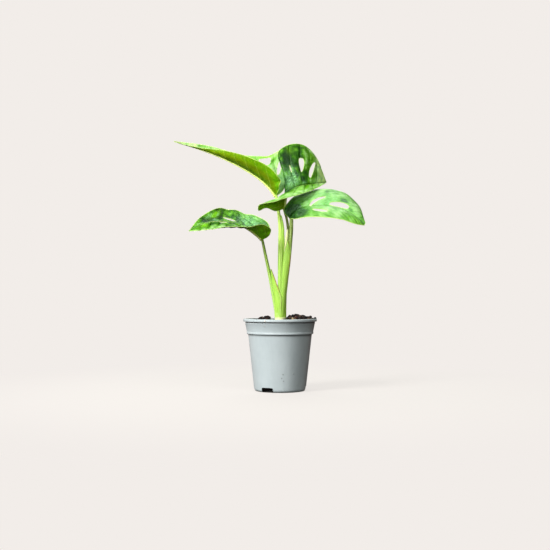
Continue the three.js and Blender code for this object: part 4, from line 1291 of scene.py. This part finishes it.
class Blade:
    """The middle surface of a blade, in millimetres, over the share along and across it."""

    def __init__(self, facts):
        self.facts = facts
        self.shares = np.linspace(0, 1, 1201)
        lines = {edge: along_curve(facts[edge], self.shares) for edge in ("midrib", "near", "far")}
        steps = {edge: np.linalg.norm(np.diff(line, axis=0), axis=1) for edge, line in lines.items()}
        self.midrib_run = np.concatenate([[0], np.cumsum(steps["midrib"])])
        widest = np.maximum.reduce(list(steps.values()))
        self.longest_run = np.concatenate([[0], np.cumsum(widest)])
        self.widths = {
            -1: np.linalg.norm(lines["near"] - lines["midrib"], axis=1),
            1: np.linalg.norm(lines["far"] - lines["midrib"], axis=1),
        }
        self.length = self.midrib_run[-1]

    def width(self, along, across):
        near = np.interp(along, self.shares, self.widths[-1])
        return np.where(across < 0, near, np.interp(along, self.shares, self.widths[1]))

    def flat(self, along, across):
        middle = along_curve(self.facts["midrib"], along)
        near = along_curve(self.facts["near"], along)
        far = along_curve(self.facts["far"], along)
        margin = np.where((across < 0)[:, None], near, far)
        return middle + (margin - middle) * np.abs(across)[:, None]

    def normal(self, along, across):
        step = 0.01
        ahead = self.flat(np.minimum(along + step, 1), across)
        lengthways = ahead - self.flat(np.maximum(along - step, 0), across)
        right = self.flat(along, np.minimum(across + 8 * step, 1))
        sideways = right - self.flat(along, np.maximum(across - 8 * step, -1))
        out = np.cross(lengthways, sideways)
        return out / np.linalg.norm(out, axis=1)[:, None]

    def surface(self, along, across):
        """Points on the blade and the directions of its upper side there."""
        along, across = np.asarray(along, float), np.asarray(across, float)
        normal = self.normal(along, across)
        share = np.abs(across)
        bow = np.where(across < 0, self.facts["near_bow"], self.facts["far_bow"])
        rise = bow * self.width(along, across) * 4 * share * (1 - share)
        points = self.flat(along, across) + normal * rise[:, None]
        return points, normal * self.facts["upper"]

    def to_plane(self, along, across):
        """The blade rolled out flat, so that its mesh can be laid out with even cells."""
        x = np.interp(along, self.shares, self.midrib_run)
        return np.stack([x, across * self.width(along, across)], 1)

    def from_plane(self, spots):
        along = np.interp(spots[:, 0], self.midrib_run, self.shares)
        across = spots[:, 1] / self.width(along, spots[:, 1])
        return along, np.clip(across, -1, 1)

    def vein_phase(self, along, across):
        """Whole numbers lie on side veins; halves are midway between two of them."""
        from_midrib = np.abs(across) * self.width(along, across)
        widest = max(self.widths[1].max(), self.widths[-1].max())
        slope = self.facts["sweep"] * self.length / widest * (0.7 + 0.3 * from_midrib / widest)
        run = np.interp(along, self.shares, self.midrib_run) - slope * from_midrib
        return run / self.length * self.facts["veins"] + np.where(across < 0, 0.5, 0.0)


def hole_outline(blade, hole):
    """A long oval that follows the blade: blunt or pointed, wider at one end, or bent."""
    start, end, width, point, taper, bend = hole
    turns = 2 * math.pi * (np.arange(HOLE_CORNERS) + 0.5) / HOLE_CORNERS
    share = (1 - np.cos(turns)) / 2
    along = start[0] + (end[0] - start[0]) * share
    across = start[1] + (end[1] - start[1]) * share
    points, up = blade.surface(along, across)
    step = 0.004
    by_along = (blade.surface(along + step, across)[0] - points) / step
    by_across = (blade.surface(along, across + step)[0] - points) / step
    ends = blade.surface([start[0], end[0]], [start[1], end[1]])[0]
    sideways = np.cross(up * blade.facts["upper"], ends[1] - ends[0])
    sideways /= np.linalg.norm(sideways, axis=1)[:, None]
    lean = np.sign(np.sin(turns)) * np.abs(np.sin(turns)) ** point
    offset = width / 2 * lean * (1 + taper * (2 * share - 1)) + bend * 4 * share * (1 - share)
    for index in range(len(turns)):
        axes = np.stack([by_along[index], by_across[index]], 1)
        change = np.linalg.lstsq(axes, sideways[index] * offset[index], rcond=None)[0]
        along[index] += change[0]
        across[index] += change[1]
    return along, across


def inside(spots, outline):
    """True for each spot that lies within the outline."""
    x, y = spots[:, 0], spots[:, 1]
    result = np.zeros(len(spots), bool)
    for (x0, y0), (x1, y1) in zip(outline, np.roll(outline, -1, axis=0)):
        crosses = (y0 > y) != (y1 > y)
        with np.errstate(divide="ignore", invalid="ignore"):
            result ^= crosses & (x < (x1 - x0) * (y - y0) / (y1 - y0) + x0)
    return result


def lay_out(blade):
    """Share along and across for every corner of a blade's mesh, and its triangles."""
    total = blade.longest_run[-1]
    rows = np.interp(np.linspace(0, total, int(total / CELL) + 1), blade.longest_run, blade.shares)
    spots = []
    for index, along in enumerate(rows[1:-1]):
        spots.append((along, 0.0))
        for side in (-1, 1):
            width = float(blade.width(np.array([along]), np.array([side]))[0])
            count = max(2, round(width / CELL))
            for column in range(1, count):
                spots.append((along, side * (column - 0.5 * (index % 2)) / count))
    margin = [(0.0, 0.0), *[(u, -1.0) for u in rows], (1.0, 0.0), *[(u, 1.0) for u in rows[::-1]]]
    outlines = [blade.to_plane(*np.array(margin).T)]
    outlines += [blade.to_plane(*hole_outline(blade, hole)) for hole in blade.facts["holes"]]
    flat = blade.to_plane(*np.array(spots).T)
    edge_points = np.vstack(outlines)
    tree = kdtree.KDTree(len(edge_points))
    for index, spot in enumerate(edge_points):
        tree.insert((*spot, 0), index)
    tree.balance()
    clear = np.array([tree.find((*spot, 0))[2] > CELL_CLEARANCE * CELL for spot in flat])
    for outline in outlines[1:]:
        clear &= ~inside(flat, outline)
    corners = np.vstack([*outlines, flat[clear]])
    edges, first = [], 0
    for outline in outlines:
        count = len(outline)
        edges += [(first + k, first + (k + 1) % count) for k in range(count)]
        first += count
    result = geometry.delaunay_2d_cdt([Vector(c) for c in corners], edges, [], 0, 1e-5, False)
    corners = np.array(result[0])
    triangles = np.array([face for face in result[2] if len(face) == 3])
    middles = corners[triangles].mean(axis=1)
    kept = inside(middles, outlines[0])
    for outline in outlines[1:]:
        kept &= ~inside(middles, outline)
    return *blade.from_plane(corners), triangles[kept]


def patch_values(patches, along, across, base):
    """Strength of each kind of patch at every corner; deep and light both count as tone."""
    values = {kind: np.zeros(len(along)) for kind in PATCH_KINDS}
    values["tone"] += base
    for kind, u, v, reach_u, reach_v, strength in patches:
        spot = strength * np.exp(-((along - u) / reach_u) ** 2 - ((across - v) / reach_v) ** 2)
        if kind == "deep":
            values["tone"] -= spot
        elif kind == "light":
            values["tone"] += spot
        else:
            values[kind] = np.maximum(values[kind], spot)
    return values


def upper_directions(points, triangles, blade):
    """The direction of the blade's upper side at every corner, averaged from its triangles."""
    first, second, third = (points[triangles[:, corner]] for corner in range(3))
    slopes = np.cross(second - first, third - first)
    sums = np.zeros_like(points)
    for corner in range(3):
        np.add.at(sums, triangles[:, corner], slopes)
    return sums / np.linalg.norm(sums, axis=1)[:, None] * blade.facts["upper"]


def rim_distances(points, triangles):
    """Distance in millimetres from each corner to the nearest margin or hole edge."""
    rim = closed_sheet(points, points, triangles.tolist())[2]
    on_rim = sorted({corner for edge in rim for corner in edge})
    tree = kdtree.KDTree(len(on_rim))
    for corner in on_rim:
        tree.insert(points[corner], corner)
    tree.balance()
    return np.array([tree.find(point)[2] for point in points])


def blade_mesh(name, blade, materials):
    """The blade as a closed sheet: puckered, frilled at the margin and grooved at the midrib."""
    facts = blade.facts
    along, across, triangles = lay_out(blade)
    points = blade.surface(along, across)[0]
    share, width = np.abs(across), blade.width(along, across)
    phase, from_midrib = blade.vein_phase(along, across), share * width
    fade = np.clip(from_midrib / 2.5, 0, 1) * np.clip((1 - share) * width / 2.0, 0, 1)
    taper = np.clip((1 - along) / 0.12, 0, 1) * np.clip(along / 0.06, 0, 1)
    puckers = np.array([noise.noise(Vector(point * PUCKER_SCALE)) for point in points])
    wave_spots = zip(along * 10, np.copysign(1.7, across))
    waves = np.array([noise.noise(Vector((u, v, len(name)))) for u, v in wave_spots])
    between_veins = np.abs(np.sin(math.pi * phase)) ** 0.6
    quilt = facts["quilt"] * (between_veins - 0.6 + 0.7 * puckers) * fade * taper
    ruffle = facts["ruffle"] * waves * share ** 3 * taper
    groove = MIDRIB_GROOVE * np.exp(-(from_midrib / MIDRIB_GROOVE_WIDTH) ** 2) * taper
    middle = points + upper_directions(points, triangles, blade) * (quilt + ruffle)[:, None]
    up = upper_directions(middle, triangles, blade)
    from_rim = rim_distances(points, triangles)
    half = BLADE_THICKNESS / 2 * (0.55 + 0.45 * np.clip(from_rim / ROLLED_EDGE, 0, 1))
    top = patch_values(facts["patches"], along, across, facts["base"])
    bottom = patch_values(facts["under_patches"], along, across, facts["under_base"])
    sides = [
        (middle + up * (half - groove)[:, None], top, 0),
        (middle - up * (half + 0.6 * groove)[:, None], bottom, 1),
    ]
    if facts["upper"] < 0:
        sides.reverse()
    surfaces, patches, skins = zip(*sides)
    corners, faces, _ = closed_sheet(*surfaces, triangles.tolist())
    mesh = mesh_of(name, corners * MM, faces)
    for material in materials:
        mesh.materials.append(material)
    skin_numbers = np.zeros(len(faces), np.int32)
    skin_numbers[:len(triangles)] = skins[0]
    skin_numbers[len(triangles):2 * len(triangles)] = skins[1]
    mesh.polygons.foreach_set("material_index", skin_numbers)
    for kind, values in {
        "phase": phase, "from_midrib": across * width, "rim": np.exp(-from_rim / 0.55),
        "pitch": np.full(len(along), blade.length / facts["veins"]),
        "pucker": facts["pucker"] * fade * taper,
    }.items():
        note(mesh, kind, np.tile(values, 2))
    for kind in PATCH_KINDS:
        note(mesh, kind, np.concatenate([patches[0][kind], patches[1][kind]]))
    mesh.set_sharp_from_angle(angle=math.radians(55))
    return mesh


def vein_line(finish, half_width):
    """1 on the side veins, falling to 0 at half_width millimetres from them."""
    phase = finish.attribute("phase")
    away = finish.maths("ABSOLUTE", finish.minus(phase, finish.maths("ROUND", phase)))
    distance = finish.times(away, finish.attribute("pitch"))
    return finish.rise(distance, half_width, half_width * 0.2)


def midrib_line(finish, outer, inner):
    """1 over the midrib up to inner millimetres from its middle, 0 from outer millimetres on."""
    return finish.rise(finish.maths("ABSOLUTE", finish.attribute("from_midrib")), outer, inner)


def blade_texture_place(finish):
    """Coordinates in millimetres that run along the side veins and across them."""
    down = finish.times(finish.attribute("phase"), finish.attribute("pitch"))
    return finish.vector(down, finish.attribute("from_midrib"))


def glossy_upper_skin():
    """Green by tone with gold and brown patches, painted sheen and darker veins; the blisters
    between the veins are painted light on their crowns and shade between them.
    """
    finish = Finish("glossy_upper_skin", 0.4, Specular_IOR_Level=0.2, Subsurface_Weight=0.06,
                    Subsurface_Radius=(0.6, 1.0, 0.2), Subsurface_Scale=0.5 * MM)
    place, sheet = finish.place, blade_texture_place(finish)
    pucker = finish.attribute("pucker")
    mottle = finish.noise(place, 120, 2.0, 0.5)
    fine = finish.noise(sheet, 1.0, 3.0, 0.6)
    warp = finish.scaled(finish.noise(place, 200, 2.0, 0.5, "Color"), 5 * MM)
    blisters = finish.cells(finish.vector_maths("ADD", place, warp), 190, "SMOOTH_F1")
    # Painted light and shade on the blisters: their crowns lighter and the hollows between them darker.
    painted_blister_light = finish.times(finish.minus(0.42, blisters), 0.55)
    tone = finish.plus(finish.attribute("tone"), finish.rise(mottle, 0.33, 0.67, -0.13, 0.13))
    tone = finish.plus(tone, finish.rise(fine, 0.3, 0.7, -0.04, 0.04))
    tone = finish.minus(tone, finish.times(vein_line(finish, 2.4), 0.05))
    tone = finish.plus(tone, finish.times(painted_blister_light, pucker))
    colour = finish.ramp(tone, [
        (0.0, shade(10, 52, 0)), (0.22, shade(42, 98, 2)), (0.45, shade(92, 160, 22)),
        (0.68, shade(140, 196, 98)), (0.9, shade(178, 228, 142)), (1.0, shade(208, 248, 146)),
    ])
    colour = finish.blend(finish.attribute("gold"), colour, shade(122, 196, 8))
    # Painted sheen: pale mint reflections and glints of the bright surroundings, broken up by noise.
    blotch = finish.rise(finish.noise(sheet, 0.9, 2.0), 0.4, 0.6, 0.25, 1)
    bloom = finish.times(finish.attribute("bloom"), blotch)
    colour = finish.blend(bloom, colour, shade(160, 226, 160))
    colour = finish.blend(finish.attribute("brown"), colour, shade(160, 122, 78))
    veins = vein_line(finish, 0.5)
    midrib = finish.times(midrib_line(finish, 0.8, 0.3), 0.6)
    lines = finish.maths("MAXIMUM", finish.times(veins, 0.28), midrib)
    colour = finish.blend(lines, colour, shade(52, 104, 14))
    rim = finish.rise(finish.attribute("rim"), 0.3, 0.8, 0, 0.85)
    colour = finish.blend(rim, colour, shade(206, 236, 130))
    relief = finish.bump(finish.rise(finish.cells(sheet, 0.75), 0.0, 0.25), 0.035 * MM)
    relief = finish.bump(veins, -0.12 * MM, relief)
    pillows = finish.minus(finish.times(mottle, 0.8), blisters)
    relief = finish.bump(finish.times(pillows, pucker), 1.0 * MM, relief)
    return finish.done(colour, relief, finish.rise(fine, 0.3, 0.7, 0.38, 0.52))


def matt_lower_skin():
    """Olive green by tone, with gold and brown patches and raised pale veins; the tone and gold are
    partly painted light shining through the leaf.
    """
    finish = Finish("matt_lower_skin", 0.5, Specular_IOR_Level=0.12, Subsurface_Weight=0.06,
                    Subsurface_Radius=(0.6, 1.0, 0.2), Subsurface_Scale=0.5 * MM)
    sheet = blade_texture_place(finish)
    mottle = finish.noise(sheet, 0.5, 4.0, 0.6)
    tone = finish.plus(finish.attribute("tone"), finish.rise(mottle, 0.25, 0.75, -0.12, 0.12))
    colour = finish.ramp(tone, [
        (0.0, shade(30, 80, 0)), (0.3, shade(84, 136, 0)), (0.6, shade(136, 172, 4)),
        (0.9, shade(174, 208, 44)),
    ])
    colour = finish.blend(finish.attribute("gold"), colour, shade(112, 200, 8))
    colour = finish.blend(finish.attribute("brown"), colour, shade(132, 134, 6))
    veins = vein_line(finish, 0.45)
    lines = finish.maths("MAXIMUM", finish.times(veins, 0.35), midrib_line(finish, 0.9, 0.5))
    colour = finish.blend(lines, colour, shade(190, 212, 84))
    rim = finish.rise(finish.attribute("rim"), 0.35, 0.85, 0, 0.8)
    colour = finish.blend(rim, colour, shade(204, 226, 116))
    relief = finish.bump(finish.rise(finish.cells(sheet, 0.75), 0.0, 0.25), -0.05 * MM)
    return finish.done(colour, finish.bump(veins, 0.15 * MM, relief))


def rib_skin():
    finish = Finish("rib_skin", 0.42, Specular_IOR_Level=0.45)
    streaks = finish.noise(finish.place, 700, 3.0)
    colour = finish.ramp(streaks, [(0.3, shade(196, 214, 96)), (0.7, shade(232, 240, 156))])
    return finish.done(colour, finish.bump(streaks, 0.06 * MM))


blade_finishes = (glossy_upper_skin(), matt_lower_skin())
rib_finish = rib_skin()
rib_shares = np.linspace(0, RIB_REACH, RIB_STATIONS)
rib_sink = np.linspace(1.25, 0.4, RIB_STATIONS)[:, None]
for name, facts in BLADES.items():
    blade = Blade(facts)
    settle(show(name, blade_mesh(name, blade, blade_finishes)), "leaf", facts["solid"])
    rib_points, rib_up = blade.surface(rib_shares, np.zeros(RIB_STATIONS))
    rib = grow_stalk(stalk_tree, f"midrib_of_{name}", rib_points - rib_up * rib_sink, RIB_RADII,
                     rib_finish, Sides=16, Groove=0.0)
    settle(rib, "leaf")


# Studio: a plain pale floor and an even pale background, a soft key light from the front left, a
# large one above and behind that puts a sheen on the leaves, weak fills from the front and from
# high up, and rosy light from both sides behind. Lengths are in metres, the lens in millimetres.
BACKGROUND = shade(242, 237, 233)
FLOOR_RADIUS = 4.0
FLOOR_CORNERS = 96
FLOOR_GLOW = 0.79
LIT_FULLY_TO = 0.09
LIT_TO = 0.32
SURROUNDINGS_STRENGTH = 0.5
LIGHTS_AIM = Vector((0, 0, 0.1))
CAMERA_PLACE = Vector((0, -0.7, 0.075))
CAMERA_AIM = Vector((-0.0041, 0, 0.094))
CAMERA_LENS = 56.03
CAMERA_SENSOR = 36
LIGHTS = {
    "key_light": ((-0.9, -0.78, 0.68), 0.45, 23.0, (1.0, 0.99, 0.97)),
    "sheen_light": ((-0.1, 0.65, 0.8), 0.9, 5.5, (0.96, 1.0, 1.0)),
    "front_fill": ((-0.1, -1.2, 0.1), 0.8, 4.5, (1.0, 0.99, 0.98)),
    "high_fill": ((0.3, -0.6, 1.0), 0.5, 3.0, (1.0, 1.0, 0.98)),
    "rosy_bounce_right": ((0.7, 0.55, 0.05), 0.4, 0.5, (1.0, 0.42, 0.38)),
    "rosy_bounce_left": ((-0.7, 0.55, 0.15), 0.5, 0.8, (1.0, 0.55, 0.52)),
}


def pale_floor():
    """Partly lit and partly glowing, so that the floor matches the background all over."""
    finish = Finish("pale_floor", 0.9, Specular_IOR_Level=0.0, Emission_Color=BACKGROUND)
    reach = finish.distance(finish.place)
    lit = finish.rise(reach, LIT_TO, LIT_FULLY_TO)
    glow = finish.minus(1.0, finish.times(lit, 1.0 - FLOOR_GLOW))
    clear_of_pot = finish.rise(reach, (BODY_BOTTOM_RADIUS - 2) * MM, BODY_BOTTOM_RADIUS * MM)
    finish.feed(finish.shader.inputs["Emission Strength"], finish.times(glow, clear_of_pot))
    return finish.done(finish.blend(lit, (0, 0, 0, 1), shade(112, 109, 106)))


def surroundings():
    """Even for the camera; for light, bright at the left, rosy behind and dim red at the right."""
    world = bpy.data.worlds.new("surroundings")
    world.use_nodes = True
    world.node_tree.nodes.clear()
    wiring = Wiring(world.node_tree)
    ahead = wiring.node("ShaderNodeTexCoord").outputs["Generated"]
    light = shade(226, 232, 238)
    for letter, low, high, colour in (
        ("Y", 0.0, 0.7, shade(192, 166, 158)), ("X", -0.3, 0.7, shade(84, 58, 54)),
        ("Z", 0.35, 0.8, shade(200, 222, 210)), ("Z", 0.0, -0.4, shade(104, 108, 100)),
    ):
        light = wiring.blend(wiring.rise(wiring.axis(ahead, letter), low, high), light, colour)
    around = wiring.made("ShaderNodeBackground", {0: light, 1: SURROUNDINGS_STRENGTH})
    seen = wiring.made("ShaderNodeBackground", {0: BACKGROUND, 1: 1.0})
    path = wiring.node("ShaderNodeLightPath").outputs["Is Camera Ray"]
    both = wiring.made("ShaderNodeMixShader", {0: path, 1: around, 2: seen})
    wiring.node("ShaderNodeOutputWorld", {0: both})
    return world


def aim(piece, place, target):
    """Stands a lamp or the camera at its place, looking at the target."""
    piece.location = place
    piece.rotation_euler = (target - Vector(place)).to_track_quat("-Z", "Y").to_euler()


bpy.context.scene.world = surroundings()
bpy.context.scene.view_settings.view_transform = "Standard"
floor_turns = np.linspace(0, 2 * math.pi, FLOOR_CORNERS, endpoint=False)
floor_corners = [(FLOOR_RADIUS * math.cos(t), FLOOR_RADIUS * math.sin(t), 0) for t in floor_turns]
floor = show("floor", mesh_of("floor", floor_corners, [tuple(range(FLOOR_CORNERS))], pale_floor()))
floor.visible_diffuse = False
floor.visible_glossy = False
for name, (place, size, power, colour) in LIGHTS.items():
    lamp = bpy.data.lights.new(name, "AREA")
    lamp.size = size
    lamp.energy = power
    lamp.color = colour
    standing_lamp = show(name, lamp)
    aim(standing_lamp, place, LIGHTS_AIM)
    standing_lamp.visible_camera = False
    standing_lamp.visible_glossy = not name.startswith("rosy")
camera = show("camera", bpy.data.cameras.new("camera"))
camera.data.lens = CAMERA_LENS
camera.data.sensor_width = CAMERA_SENSOR
aim(camera, CAMERA_PLACE, CAMERA_AIM)
bpy.context.scene.camera = camera
